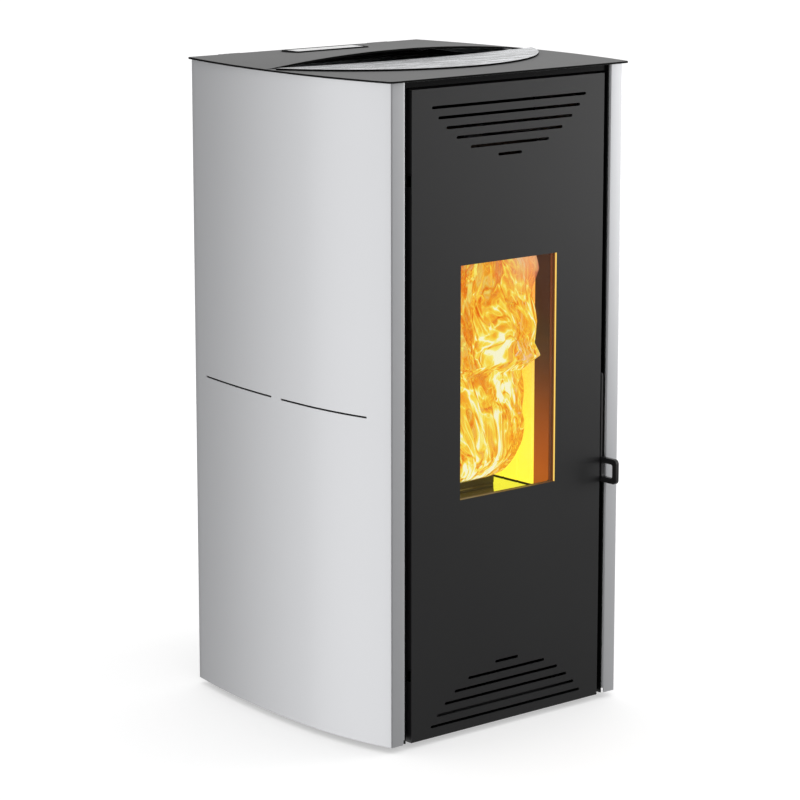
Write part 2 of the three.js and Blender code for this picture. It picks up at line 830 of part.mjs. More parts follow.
// Hopper lid with the console cut-out and the moving knuckles of its two hinges.
function hopperLid() {
  const room = 1.5;
  const cutOut = planPrism(
    roundedRect([-consoleHalf - room, consoleHalf + room], [consoleFrontY - room, consoleRearY + room], 5),
    plateZ - 5, plateZ + plate + lidRise, 3,
  );
  const knuckles = [-lidHingeX, lidHingeX].flatMap((x) => [-1, 1].map((side) => {
    const from = x + side * (knuckleLength / 2 + fit);
    const to = x + side * knuckleLength;
    const span = [Math.min(from, to), Math.max(from, to)];
    const barrel = bar('x', knuckleRadius, [lidHingeY, lidHingeZ], span, 10);
    const web = block(span, [plateRearY - 1, lidHingeY], [plateZ, plateZ + plate]);
    return cut(join(barrel, web), bar('x', lidPinRadius + pinGap, [lidHingeY, lidHingeZ], [span[0] - 1, span[1] + 1], 6));
  }));
  return join(cut(lidSheet(), cutOut), ...knuckles);
}

// Fixed half of a lid hinge: leaf on the rear panel, middle knuckle and pin.
function lidHinge(x) {
  const half = knuckleLength / 2;
  const leaf = block([x - half, x + half], [rearPanelY, rearPanelY + sheet], [rearPanelTop - lidHingeLeaf, lidHingeZ]);
  const barrel = bar('x', knuckleRadius, [lidHingeY, lidHingeZ], [x - half, x + half], 10);
  const pin = bar('x', lidPinRadius, [lidHingeY, lidHingeZ], [x - knuckleLength, x + knuckleLength], 8);
  return join(leaf, barrel, pin);
}

// Console: a box behind the hopper with a neck that stands through the lid.
function consoleHousing() {
  const neckTop = plateZ + plate + consoleProud - consoleGlass;
  return join(
    block([-consoleBoxHalf, consoleBoxHalf], [hopperRearY + 4, rearPanelY - sheet], [consoleBoxBottom, consoleBoxTop]),
    planPrism(roundedRect([-consoleHalf, consoleHalf], [consoleFrontY, consoleRearY], 4), consoleBoxTop - 1, neckTop, 3),
  );
}

function consoleCover() {
  const top = plateZ + plate + consoleProud;
  return planPrism(roundedRect([-consoleHalf, consoleHalf], [consoleFrontY, consoleRearY], 4), top - consoleGlass, top, 3);
}

// ---------------------------------------------------------------- door

// Half-lengths of the vent slots, longest first: their ends lie on one arc.
function slotHalves() {
  const radius = (slotLongHalf ** 2 + slotArcRise ** 2) / (2 * slotArcRise);
  return Array.from({ length: slotRows }, (_, row) => {
    const drop = slotArcRise - row * slotPitch;
    return Math.sqrt(radius ** 2 - (radius - drop) ** 2);
  });
}

function ventSlots() {
  const round = slotHeight / 2;
  return slotHalves().flatMap((half, row) => [slotTopZ - row * slotPitch, slotBottomZ + row * slotPitch].map((z) => {
    const shape = roundedRect([-half, half], [z - round, z + round], round * 0.99);
    return frontPrism(shape, -1, doorSkin + 1, 1);
  }));
}

// Folded door tray with its window reveal, vent slots, hinge lugs and hinge notches.
function doorPanel() {
  const outerBox = block([-doorHalf, doorHalf], [0, doorDepth], [doorBottom, doorTop]);
  const hollow = block(
    [doorSkin - doorHalf, doorHalf - doorSkin], [doorSkin, doorDepth + 1], [doorBottom + doorSkin, doorTop - doorSkin],
  );
  const reveal = block(
    [-windowHalf - revealWall, windowHalf + revealWall], [0, revealDepth],
    [windowBottom - revealWall, windowTop + revealWall],
  );
  const windowHole = block([-windowHalf, windowHalf], [-1, revealDepth + 1], [windowBottom, windowTop]);
  const lugs = [hingeLowZ, hingeHighZ].map((z) => {
    const from = z + hingeBracketThick + fit;
    const plateBlock = block([doorSkin - doorHalf - 0.5, hingeX + 8], [doorSkin - 0.5, hingeY + 8], [from, from + lugThick]);
    return cut(plateBlock, bar('z', hingePinRadius + pinGap, [hingeX, hingeY], [from - 1, from + lugThick + 1], 16));
  });
  const notches = [hingeLowZ, hingeHighZ].map((z) => block(
    [-doorHalf - 1, doorSkin - doorHalf + 0.5], [doorSkin, doorDepth + 1],
    [z - hingeNotchRoom, z + hingeBracketThick + fit],
  ));
  const axleHole = bar('x', axleRadius + pinGap, [axleY, axleZ], [doorHalf - doorSkin - 1, doorHalf + 1], 16);
  return cut(join(cut(outerBox, hollow), reveal, ...lugs), windowHole, ...notches, axleHole, ...ventSlots());
}

const glassFrontY = revealDepth + fit;
const sealFrontY = glassFrontY + glassThick;
const innerFrameFrontY = sealFrontY + glassSealThick;
const gasketFrontY = innerFrameFrontY + innerFrameThick;
const innerFrameHalf = mouthHalf + innerFrameLap;
const innerFrameBottom = fireBottom - innerFrameFoot;
const innerFrameTop = mouthTop + innerFrameHead;

function doorGlass() {
  return block(
    [-windowHalf - glassOverlap, windowHalf + glassOverlap], [glassFrontY, sealFrontY],
    [windowBottom - glassOverlap, windowTop + glassOverlap],
  );
}

function glassSeal() {
  const outside = roundedRect(
    [-windowHalf - glassOverlap, windowHalf + glassOverlap], [windowBottom - glassOverlap, windowTop + glassOverlap], 3,
  );
  const inside = roundedRect([-windowHalf - 2, windowHalf + 2], [windowBottom - 2, windowTop + 2], 2);
  return cut(
    frontPrism(outside, sealFrontY, innerFrameFrontY, 1),
    frontPrism(inside, sealFrontY - 1, innerFrameFrontY + 1, 1),
  );
}

// Cast inner frame that clamps the glass and carries the rope gasket.
function doorInnerFrame() {
  const slab = frontPrism(
    roundedRect([-innerFrameHalf, innerFrameHalf], [innerFrameBottom, innerFrameTop], 10),
    innerFrameFrontY, gasketFrontY, 2,
  );
  const opening = frontPrism(
    roundedRect([-windowHalf - 2, windowHalf + 2], [windowBottom - 2, windowTop + 2], 4),
    innerFrameFrontY - 1, gasketFrontY + 1, 1,
  );
  const flare = block(
    [-windowHalf - innerFlare, windowHalf + innerFlare], [innerFrameFrontY + innerFrameThick / 2, gasketFrontY + 1],
    [windowBottom - innerFlare, windowTop + innerFlare],
  );
  return cut(slab, opening, flare);
}

function doorGasket() {
  const half = innerFrameHalf - gasketInset;
  const low = innerFrameBottom + gasketInset;
  const high = innerFrameTop - gasketInset;
  return cut(
    frontPrism(roundedRect([-half, half], [low, high], 14), gasketFrontY, frameY - fit, 3),
    frontPrism(
      roundedRect([gasketWidth - half, half - gasketWidth], [low + gasketWidth, high - gasketWidth], 6),
      gasketFrontY - 1, frameY + 1, 2,
    ),
  );
}

// Body half of a door hinge: a bracket from the front frame with an upright pin.
function doorHinge(z) {
  const across = [hingeX - hingeBracketHalf, hingeX + hingeBracketHalf];
  const bracket = block(across, [hingeY - hingeBracketNose, frameY], [z, z + hingeBracketThick]);
  const foot = block(across, [frameY - hingeFootThick, frameY], [z - hingeFootDrop, z + hingeBracketThick]);
  const pin = bar('z', hingePinRadius, [hingeX, hingeY], [z + 1, z + hingeBracketThick + hingePinLength], 16);
  return join(bracket, foot, pin);
}

// Flat lever in the gap beside the door, ending below in a square pull loop.
function handleLever() {
  const stem = sidePrism(
    roundedRect([leverFrontY, leverFrontY + leverDepth], [loopBottom + loopHeight / 2, leverTopZ], 5),
    leverX, leverX + leverThick, 4,
  );
  const y = [leverFrontY - loopReach - 1, leverFrontY + leverDepth];
  const z = [loopBottom, loopBottom + loopHeight];
  const loopOutside = sidePrism(roundedRect(y, z, loopCorner), leverX, leverX + loopWidth, 4);
  const finger = sidePrism(
    roundedRect([y[0] + loopBar, leverFrontY - 2], [z[0] + loopBar, z[1] - loopBar], 3),
    leverX - 1, leverX + loopWidth + 1, 3,
  );
  const jambRoom = block([leverX + leverThick, leverX + loopWidth + 1], [leverFrontY - 1.5, y[1] + 1], [z[0] - 1, z[1] + 1]);
  return cut(join(stem, cut(loopOutside, finger)), jambRoom);
}

// Axle and hook inside the door; the axle passes through the tray's side and carries the lever.
function latchHook() {
  const hookX = doorHalf - hookInset;
  const axle = bar('x', axleRadius, [axleY, axleZ], [hookX - hookThick - 2, leverX - fit], 16);
  const hookTop = axleZ - hookDrop + hookBar;
  const arm = outline([
    [axleY - hookEyeHalf, axleZ + hookEyeHalf - 1], [axleY - hookEyeHalf, axleZ - hookEyeHalf],
    [keeperY - keeperRadius - 6, axleZ - hookDrop], [axleY + hookReach, axleZ - hookDrop],
    [axleY + hookReach, hookTop], [keeperY - keeperRadius - 3, hookTop], [axleY + hookEyeHalf + 2, axleZ + hookEyeHalf],
  ]);
  return join(axle, sidePrism(arm, hookX - hookThick, hookX));
}

// Keeper behind the front frame: a cross pin over the hook, held by two cheeks.
function latchKeeper() {
  const hookX = doorHalf - hookInset;
  const z = axleZ - keeperDrop;
  const across = [hookX - hookThick - 8, hookX + 8];
  const height = [z - 3, z + 18];
  const cheeks = [across[0], across[1] - keeperCheek].map((x) => (
    block([x, x + keeperCheek], [frameY + sheet, keeperY + keeperReach], height)
  ));
  const back = block(across, [keeperY + keeperReach - sheet, keeperY + keeperReach], [z + 6, height[1]]);
  const pin = bar('x', keeperRadius, [keeperY, z], across, 14);
  return join(...cheeks, back, pin);
}

// ---------------------------------------------------------------- firebox

const chuteHole = { half: chuteHalf - chuteWall, low: augerLowZ + 18, high: augerLowZ + 92 };

// Welded firebox: throat, fire chamber over a hearth plate, and ash compartment below.
function fireboxShell() {
  const throatHalf = mouthHalf + fireWall;
  const frontY = frameY + sheet;
  const shell = join(
    block([-fireHalf, fireHalf], [fireStepY - fireWall, fireRearY], [fireBottom, fireTop]),
    block([-throatHalf, throatHalf], [frontY, fireStepY], [fireBottom, mouthTop + fireWall]),
    block([-fireFlangeHalf, fireFlangeHalf], [frontY, frontY + fireWall], [fireBottom - fireFlangeFoot, mouthTop + fireFlangeHead]),
  );
  const ashTopZ = hearthZ - fireWall;
  const inside = [
    block([fireWall - fireHalf, fireHalf - fireWall], [fireStepY, fireRearY - fireWall], [hearthZ, fireTop - fireWall]),
    block([fireWall - fireHalf, fireHalf - fireWall], [fireStepY, fireRearY - fireWall], [fireBottom + fireWall, ashTopZ]),
    block([-mouthHalf, mouthHalf], [frontY - 1, fireStepY + 1], [hearthZ, mouthTop]),
    block([-mouthHalf, mouthHalf], [frontY - 1, fireStepY + 1], [fireBottom + fireWall + 2, ashTopZ]),
  ];
  const rear = [fireRearY - fireWall - 1, fireRearY + 1];
  const holes = [
    block([-potHalf - 1, potHalf + 1], [potFrontY - 1, potRearY + 1], [ashTopZ - 1, hearthZ + 1]),
    block([-chuteHole.half, chuteHole.half], rear, [chuteHole.low, chuteHole.high]),
    block([fanX - smokeWidth + 3, fanX - 4], rear, [fireBottom + 14, ashTopZ - 12]),
    bar('y', airRadius - 2, [airX, airZ], rear, 20),
    bar('y', igniterRadius + 1, [0, igniterZ], rear, 12),
  ];
  const gasWindow = block(
    [-gasWindowHalf, gasWindowHalf], [gasWindowFrontY, gasWindowRearY], [fireTop - fireWall - 1, fireTop + 1],
  );
  return cut(shell, ...inside, ...holes, gasWindow);
}

// Firebrick side lining with shallow upright flutes on its hot face.
function sideLining(side) {
  const outer = liningInner + liningThick;
  const y = [fireStepY + 0.5, fireRearY - fireWall - backLiningThick - 1];
  const step = (y[1] - y[0]) / fluteCount;
  const points = [[outer, y[0]], [outer, y[1]]];
  for (let i = fluteCount - 1; i >= 0; i -= 1) {
    const start = y[0] + step * i;
    points.push([liningInner, start + step - 1], [liningInner, start + 3]);
    points.push([liningInner + fluteDepth, start + 2], [liningInner + fluteDepth, start + (i ? 0.5 : 0)]);
  }
  return planPrism(outline(side > 0 ? points : mirrored(points)), hearthZ + fit, liningTop);
}

// Back lining with ribs and the mouth of the pellet chute.
function backLining() {
  const rearY = fireRearY - fireWall - fit;
  const frontY = rearY - backLiningThick;
  const half = fireHalf - fireWall - 0.5;
  const pitch = (2 * liningInner) / backRibs;
  const ribs = Array.from({ length: backRibs }, (_, i) => {
    const x = -liningInner + pitch * (i + 0.5);
    return block([x - pitch * 0.3, x + pitch * 0.3], [frontY - 3, frontY + 1], [hearthZ + 20, liningTop - 15]);
  });
  const mouth = block([-chuteHalf, chuteHalf], [frontY - 5, rearY + 1], [chuteHole.low - 6, chuteHole.high + 2]);
  return cut(join(block([-half, half], [frontY, rearY], [hearthZ + fit, liningTop]), ...ribs), mouth);
}

// Baffle that lies on the lining and turns the gases back to the front.
function bafflePlate() {
  const half = fireHalf - fireWall - 0.8;
  const slab = block([-half, half], [baffleFrontY, fireRearY - fireWall - 0.6], [liningTop + fit, liningTop + baffleThick]);
  const nose = sidePrism(outline([
    [baffleFrontY + 1, liningTop + fit], [baffleFrontY - baffleNose, liningTop + baffleThick + 4],
    [baffleFrontY - baffleNose, liningTop + baffleThick + 10], [baffleFrontY + 1, liningTop + baffleThick],
  ]), -half, half);
  return join(slab, nose);
}

// Cast burn pot: sloping sides, a rim that hangs on the hearth, and rows of air holes.
function burnPot() {
  const foot = potHalf - potTaper;
  const footY = [potFrontY + potTaperDeep, potRearY - potTaperDeep];
  const rimZ = hearthZ + fit;
  const body = join(
    funnel(
      { x: [-foot, foot], y: footY, z: potBottom },
      { x: [-potHalf, potHalf], y: [potFrontY, potRearY], z: hearthZ },
    ),
    block([-potHalf, potHalf], [potFrontY, potRearY], [hearthZ - 1, potTop]),
    block([-potHalf - potRim, potHalf + potRim], [potFrontY - potRim, potRearY + potRim], [rimZ, rimZ + 4]),
  );
  const bowl = join(
    funnel(
      { x: [potWall - foot, foot - potWall], y: [footY[0] + potWall, footY[1] - potWall], z: potBottom + potWall },
      { x: [potWall - potHalf, potHalf - potWall], y: [potFrontY + potWall, potRearY - potWall], z: hearthZ },
    ),
    block(
      [potWall - potHalf, potHalf - potWall], [potFrontY + potWall, potRearY - potWall], [hearthZ - 1, potTop + 1],
    ),
  );
  const holes = [];
  for (let row = 0; row < potHoleRows; row += 1) {
    for (let column = 0; column < potHoleColumns; column += 1) {
      const x = (foot - 14) * (-1 + (2 * column) / (potHoleColumns - 1));
      const y = potFrontY + 26 + ((potRearY - potFrontY - 52) * row) / (potHoleRows - 1);
      holes.push(bar('z', potHoleRadius, [x, y], [potBottom - 1, potBottom + potWall + 1], 6));
    }
  }
  return cut(body, bowl, ...holes);
}

// Ash pan: folded tray with a turned-out pull along its front edge.
function ashPan() {
  const z0 = fireBottom + fireWall + 2 + fit;
  const outside = block([-ashHalf, ashHalf], [ashFrontY, ashRearY], [z0, ashTop]);
  const inside = block(
    [ashWall - ashHalf, ashHalf - ashWall], [ashFrontY + ashWall, ashRearY - ashWall], [z0 + ashWall, ashTop + 1],
  );
  const pull = block([-ashPullHalf, ashPullHalf], [ashFrontY - ashPullReach, ashFrontY + 1], [ashTop - 2, ashTop]);
  return join(cut(outside, inside), pull);
}

// Cartridge igniter behind the pot, screwed into the rear wall.
function igniter() {
  const centre = [0, igniterZ];
  return join(
    bar('y', igniterRadius, centre, [potRearY + 3, fireRearY + igniterTail], 12),
    bar('y', igniterRadius + 4, centre, [fireRearY + fit, fireRearY + 8], 6),
  );
}

// Air-over-tube heat exchanger: two end plates and two staggered rows of tubes.
function heatExchanger() {
  const z0 = fireTop + fit;
  const low = z0 + 25;
  const places = [];
  [4, 3].forEach((count, row) => {
    for (let i = 0; i < count; i += 1) {
      places.push([exchangerTubePitch * (i - (count - 1) / 2), low + row * exchangerRowPitch]);
    }
  });
  const ends = [exchangerFrontY, exchangerRearY - exchangerPlate].map((y) => (
    block([-exchangerHalf, exchangerHalf], [y, y + exchangerPlate], [z0, exchangerTop])
  ));
  const tubes = places.map((place) => bar('y', exchangerTubeRadius, place, [exchangerFrontY, exchangerRearY], 8));
  const bores = places.map((place) => bar(
    'y', exchangerTubeRadius - exchangerTubeWall, place, [exchangerFrontY - 1, exchangerRearY + 1], 8,
  ));
  return cut(join(...ends, ...tubes), ...bores);
}

// Sheet duct that carries the warm air up to the outlet in the top.
function airOutletDuct() {
  const z = [exchangerTop + fit, casingTop];
  const outer = block([-outletHalf - sheet, outletHalf + sheet], [outletFrontY - 2 * sheet, ductRearY + sheet], z);
  const inner = block([-outletHalf, outletHalf], [outletFrontY - sheet, ductRearY], [z[0] - 1, z[1] + 1]);
  return cut(outer, inner);
}

// ---------------------------------------------------------------- pellet feed

// Hopper: straight upper box, four sloping sides and a square mouth over the auger.
function pelletHopper() {
  const skin = (grow, extra) => join(
    block([-hopperHalf - grow, hopperHalf + grow], [hopperFrontY - grow, hopperRearY + grow], [hopperShoulder, hopperRim + extra]),
    funnel(
      {
        x: [-hopperMouthHalf - grow, hopperMouthHalf + grow], y: [hopperMouthFront - grow, hopperRearY + grow],
        z: hopperMouthZ + fit,
      },
      { x: [-hopperHalf - grow, hopperHalf + grow], y: [hopperFrontY - grow, hopperRearY + grow], z: hopperShoulder },
    ),
  );
  const rimPlate = block(
    [-hopperHalf - hopperFlange, hopperHalf + hopperFlange], [ductRearY + sheet + fit, hopperRearY + hopperWall],
    [hopperRim - hopperWall, hopperRim],
  );
  const mouth = block(
    [-hopperMouthHalf, hopperMouthHalf], [hopperMouthFront, hopperRearY], [hopperMouthZ - 1, hopperMouthZ + 2],
  );
  return cut(join(skin(hopperWall, 0), rimPlate), skin(0, 1), mouth);
}

// Finger guard over the pellets: one sheet with long slots between its bars.
function hopperGrille() {
  const halfWidth = hopperHalf - grilleGap;
  const y = [hopperFrontY + grilleGap, hopperRearY - grilleGap];
  const pitch = (2 * halfWidth - grilleBar) / grilleSlots;
  const slots = Array.from({ length: grilleSlots }, (_, i) => {
    const x0 = grilleBar - halfWidth + i * pitch;
    return block(
      [x0, x0 + pitch - grilleBar], [y[0] + grilleBar, y[1] - grilleBar], [grilleZ - 1, grilleZ + grilleBar + 1],
    );
  });
  return cut(block([-halfWidth, halfWidth], y, [grilleZ, grilleZ + grilleBar]), ...slots);
}

function hopperSeal() {
  const outside = roundedRect(
    [-hopperHalf - hopperFlange, hopperHalf + hopperFlange], [ductRearY + sheet + fit, hopperRearY + hopperWall], 6,
  );
  const inside = roundedRect(
    [-hopperHalf - 1, hopperHalf + 1], [hopperFrontY - 1, hopperRearY - 3], 4,
  );
  return cut(
    planPrism(outside, hopperRim, hopperRim + sealHeight, 2),
    planPrism(inside, hopperRim - 1, hopperRim + sealHeight + 1, 2),
  );
}

// A solid drawn along the auger's own axis (local Z up from its lower end), set into the stove.
function alongAuger(geometry) {
  geometry.rotateX(augerTilt);
  geometry.translate(0, augerLowY, augerLowZ);
  return solid(geometry);
}

function augerCylinder(radius, from, to, segments) {
  const geometry = new THREE.CylinderGeometry(radius, radius, to - from, segments);
  geometry.rotateX(Math.PI / 2);
  geometry.translate(0, 0, (from + to) / 2);
  return alongAuger(geometry);
}

// Slanted auger tube with the intake collar under the hopper, the outlet and an upper bearing plate.
function augerTube() {
  const outerRadius = augerBore + augerTubeWall;
  const collarWall = augerTubeWall;
  const collarX = hopperMouthHalf + collarWall;
  const collar = block([-collarX, collarX], [hopperMouthFront - collarWall, hopperRearY + collarWall], [augerLowZ + 20, hopperMouthZ]);
  const intake = block([-augerBore, augerBore], [hopperMouthFront, hopperRearY], [augerLowZ + 24, hopperMouthZ + 1]);
  const bore = augerCylinder(augerBore, -1, augerLength - 4, 16);
  const belowAuger = augerCylinder(outerRadius, -40, 0, 16);
  const outletGeometry = new THREE.BoxGeometry(2 * chuteHole.half, outerRadius, 46);
  outletGeometry.translate(0, -outerRadius / 2 - 6, augerLength - 4 - 23);
  const bearing = augerCylinder(augerShaftRadius + pinGap, augerLength - 6, augerLength + 2, 12);
  return cut(
    join(augerCylinder(outerRadius, 0, augerLength, 16), cut(collar, belowAuger)),
    bore, intake, alongAuger(outletGeometry), bearing,
  );
}

// Auger screw: a helical flight swept round a shaft.
function augerScrew() {
  const flightFrom = 6;
  const flightTo = augerLength - 10;
  const turns = (flightTo - flightFrom - augerFlight) / augerPitch;
  const steps = Math.round(turns * augerSteps);
  const corners = [];
  for (let i = 0; i <= steps; i += 1) {
    const angle = (2 * Math.PI * turns * i) / steps;
    const height = flightFrom + augerFlight / 2 + augerPitch * turns * (i / steps);
    for (const [radius, lift] of [[augerShaftRadius - 1, -1], [augerScrewRadius, -1], [augerScrewRadius, 1], [augerShaftRadius - 1, 1]]) {
      corners.push(radius * Math.cos(angle), radius * Math.sin(angle), height + (lift * augerFlight) / 2);
    }
  }
  const faces = [0, 1, 2, 0, 2, 3];
  for (let i = 0; i < steps; i += 1) {
    for (let k = 0; k < 4; k += 1) {
      const a = 4 * i + k;
      const b = 4 * i + ((k + 1) % 4);
      faces.push(a, a + 4, b + 4, a, b + 4, b);
    }
  }
  const last = 4 * steps;
  faces.push(last, last + 2, last + 1, last, last + 3, last + 2);
  const flight = new THREE.BufferGeometry();
  flight.setAttribute('position', new THREE.Float32BufferAttribute(corners, 3));
  flight.setIndex(faces);
  const shaft = bar('z', augerShaftRadius, [0, 0], [-8, augerLength + 6], 12);
  return join(solid(flight), shaft);
}

// Gearmotor under the auger: mounting disc, gearbox and motor can, drawn below its own face.
function augerGearmotor() {
  const half = gearboxWidth / 2;
  const low = -gearDisc - gearboxDepth;
  const disc = bar('z', augerBore + augerTubeWall, [0, 0], [-gearDisc - fit, -fit], 18);
  const socket = bar('z', augerShaftRadius + pinGap, [0, 0], [-10, 1], 12);
  const gearbox = planPrism(
    roundedRect([-half, half], [4 - half, 4 + gearboxHeight - half], 8), low, -gearDisc, 2,
  );
  const motor = bar('z', gearMotorRadius, [0, 2], [low - gearMotorLength, low + 1], 14);
  return cut(join(disc, gearbox, motor), socket);
}

// Pellet chute from the auger's outlet down through the rear wall of the firebox.
function pelletChute() {
  const y0 = fireRearY + fit;
  const slope = augerLowY + augerLowZ - (augerBore + augerTubeWall) * Math.SQRT2 - 0.6;
  const backY = fireRearY + chuteReach;
  const kneeZ = chuteHole.low + chuteKneeRise;
  const outerShape = outline([
    [y0, chuteHole.low - 8], [backY, kneeZ], [backY, slope - backY], [slope - chuteHole.high - 8, chuteHole.high + 8],
    [y0, chuteHole.high + 8],
  ]);
  const innerShape = outline([
    [y0 - 1, chuteHole.low - 5], [backY - chuteWall, kneeZ + 3], [backY - chuteWall, slope - backY + 6],
    [slope - chuteHole.high + 2, chuteHole.high + 5.5], [y0 - 1, chuteHole.high + 5.5],
  ]);
  return cut(
    sidePrism(outerShape, -chuteHalf, chuteHalf),
    sidePrism(innerShape, -chuteHole.half, chuteHole.half),
  );
}

// ---------------------------------------------------------------- exhaust

// Scroll outline round the impeller, growing by a steady spiral, with its outlet towards the back.
function scrollOutline(grow, outletY) {
  const steps = 20;
  const points = [];
  for (let i = 0; i <= steps; i += 1) {
    const share = i / steps;
    const angle = 0.15 * Math.PI + share * 1.35 * Math.PI;
    const radius = scrollStart + (scrollEnd - scrollStart) * share + grow;
    points.push([fanY + radius * Math.cos(angle), fanZ + radius * Math.sin(angle)]);
  }
  const mouthTopZ = fanZ - scrollEnd - grow + 2 * (flueZ - (fanZ - scrollEnd)) + 2 * grow;
  points.push([outletY, fanZ - scrollEnd - grow], [outletY, mouthTopZ], [fanY + scrollStart * 0.9 + grow, mouthTopZ]);
  return outline(points);
}

function exhaustFanHousing() {
  const rear = rearPanelY - sheet - 8;
  const solidScroll = sidePrism(scrollOutline(fanWall, rear), fanX, fanX + fanWidth);
  const hollow = sidePrism(scrollOutline(0, rear + 1), fanX + fanWall, fanX + fanWidth - fanWall);
  const inlet = bar('x', fanInletRadius, [fanY, fanZ], [fanX - 1, fanX + fanWall + 1], 20);
  const shaftHole = bar('x', motorShaftRadius + pinGap, [fanY, fanZ], [fanX + fanWidth - fanWall - 1, fanX + fanWidth + 1], 12);
  const saddle = block([fanX, fanX + fanWidth], [fanY - 40, fanY + 40], [baseZ + baseThick + fit, fanZ - scrollEnd + 4]);
  return cut(join(solidScroll, cut(saddle, sidePrism(scrollOutline(0, rear), fanX + 4, fanX + fanWidth - 4))), hollow, inlet, shaftHole);
}

// Paddle wheel of the smoke extractor, drawn round its own X axis.
function exhaustImpeller() {
  const disc = bar('x', impellerRadius, [0, 0], [-2, 0], 20);
  const hub = bar('x', 12, [0, 0], [-impellerWidth + 6, 0], 10);
  const shaft = bar('x', motorShaftRadius, [0, 0], [-impellerWidth, fanWall + 14], 12);
  const blades = Array.from({ length: impellerBlades }, (_, i) => {
    const geometry = new THREE.BoxGeometry(impellerWidth, impellerRadius - 10, 1.6);
    geometry.translate(-impellerWidth / 2, 9 + (impellerRadius - 10) / 2, 0);
    geometry.rotateX((2 * Math.PI * i) / impellerBlades);
    return solid(geometry);
  });
  return join(disc, hub, shaft, ...blades);
}

// Motor can with cooling ribs, drawn along +X from its mounting face.
function motorCan(radius, length, boreRadius) {
  const ribs = 2;
  const step = length / (2 * ribs + 1);
  const profile = [[0, 0], [radius, 0], [radius, step]];
  for (let i = 0; i < ribs; i += 1) {
    const height = step * (2 * i + 1);
    profile.push([radius - 3, height], [radius - 3, height + step], [radius, height + step], [radius, height + 2 * step]);
  }
  profile.push([radius * 0.5, length + 4], [0, length + 4]);
  const points = profile.map(([r, h]) => new THREE.Vector2(r, h));
  const geometry = new THREE.LatheGeometry(points, 16);
  geometry.rotateZ(-Math.PI / 2);
  return cut(solid(geometry), bar('x', boreRadius, [0, 0], [-1, 16], 12));
}

// Smoke duct between the ash compartment and the fan's eye.
function smokeDuct() {
  const x = [fanX - smokeWidth, fanX - fit];
  const y0 = fireRearY + fit;
  const outer = outline([
    [y0, smokeLowZ], [y0, smokeHighZ], [smokeBendY, smokeHighZ],
    [smokeRearY, smokeRearZ], [smokeRearY, smokeFootZ], [smokeFootY, smokeFootZ],
  ]);
  const inner = outline([
    [y0 - 1, smokeLowZ + smokeWall + 1], [y0 - 1, smokeHighZ - smokeWall],
    [smokeBendY - 1, smokeHighZ - smokeWall], [smokeRearY - smokeWall, smokeRearZ - smokeWall / 2],
    [smokeRearY - smokeWall, smokeFootZ + smokeWall], [smokeFootY + 1, smokeFootZ + smokeWall],
  ]);
  const eye = bar('x', fanInletRadius, [fanY, fanZ], [x[1] - smokeWall - 1, x[1] + 1], 20);
  return cut(sidePrism(outer, ...x), sidePrism(inner, x[0] + smokeWall, x[1] - smokeWall), eye);
}

// Round flue spigot with a bead and a square flange on the fan outlet.
function flueCollar() {
  const centre = [fanX + fanWidth / 2, flueZ];
  const flangeY = rearPanelY - sheet - 8 + fit;
  const square = [centre[0] - flueFlangeHalf, centre[0] + flueFlangeHalf];
  const upright = [centre[1] - flueFlangeHalf + 2, centre[1] + flueFlangeHalf - 2];
  const flange = frontPrism(roundedRect(square, upright, 6), flangeY, flangeY + 3, 1);
  const bead = bar('y', flueRadius + flueBead, centre, [flueEndY - 14, flueEndY - 10], 20);
  const tube = bar('y', flueRadius, centre, [flangeY, flueEndY], 20);
  return cut(join(flange, tube, bead), bar('y', flueRadius - flueWall, centre, [flangeY - 1, flueEndY + 1], 20));
}

function airInletPipe() {
  const centre = [airX, airZ];
  const from = fireRearY + fit;
  const flange = bar('y', airRadius + airFlange, centre, [from, from + 3], 16);
  return cut(
    join(bar('y', airRadius, centre, [from, airEndY], 18), flange),
    bar('y', airRadius - 2, centre, [from - 1, airEndY + 1], 18),
  );
}

// ---------------------------------------------------------------- room air blower

// Cross-flow blower casing: a part-round shell with an upward outlet, between two end plates on feet.
function blowerHousing() {
  const rightX = blowerLeftX + blowerLength;
  const shellRadius = rotorRadius + blowerRoom;
  const topZ = blowerZ + blowerOutletRise;
  const shellShape = new THREE.Shape();
  shellShape.absarc(blowerY, blowerZ, shellRadius, Math.PI, 2.25 * Math.PI, false);
  shellShape.absarc(blowerY, blowerZ, shellRadius - blowerShell, 2.25 * Math.PI, Math.PI, true);
  const outletWall = block(
    [blowerLeftX, rightX], [blowerY - shellRadius, blowerY - shellRadius + blowerShell], [blowerZ - 1, topZ],
  );
  const endShape = roundedRect(
    [blowerY - blowerEndHalf, blowerY + blowerEndHalf], [baseZ + baseThick + fit, topZ], 6,
  );
  const ends = [blowerLeftX, rightX - blowerShell].map((x) => sidePrism(endShape, x, x + blowerShell, 1));
  const shaftHole = bar('x', motorShaftRadius + pinGap, [blowerY, blowerZ], [blowerLeftX - 1, rightX + 1], 12);
  return cut(join(sidePrism(shellShape, blowerLeftX, rightX, 5), outletWall, ...ends), shaftHole);
}

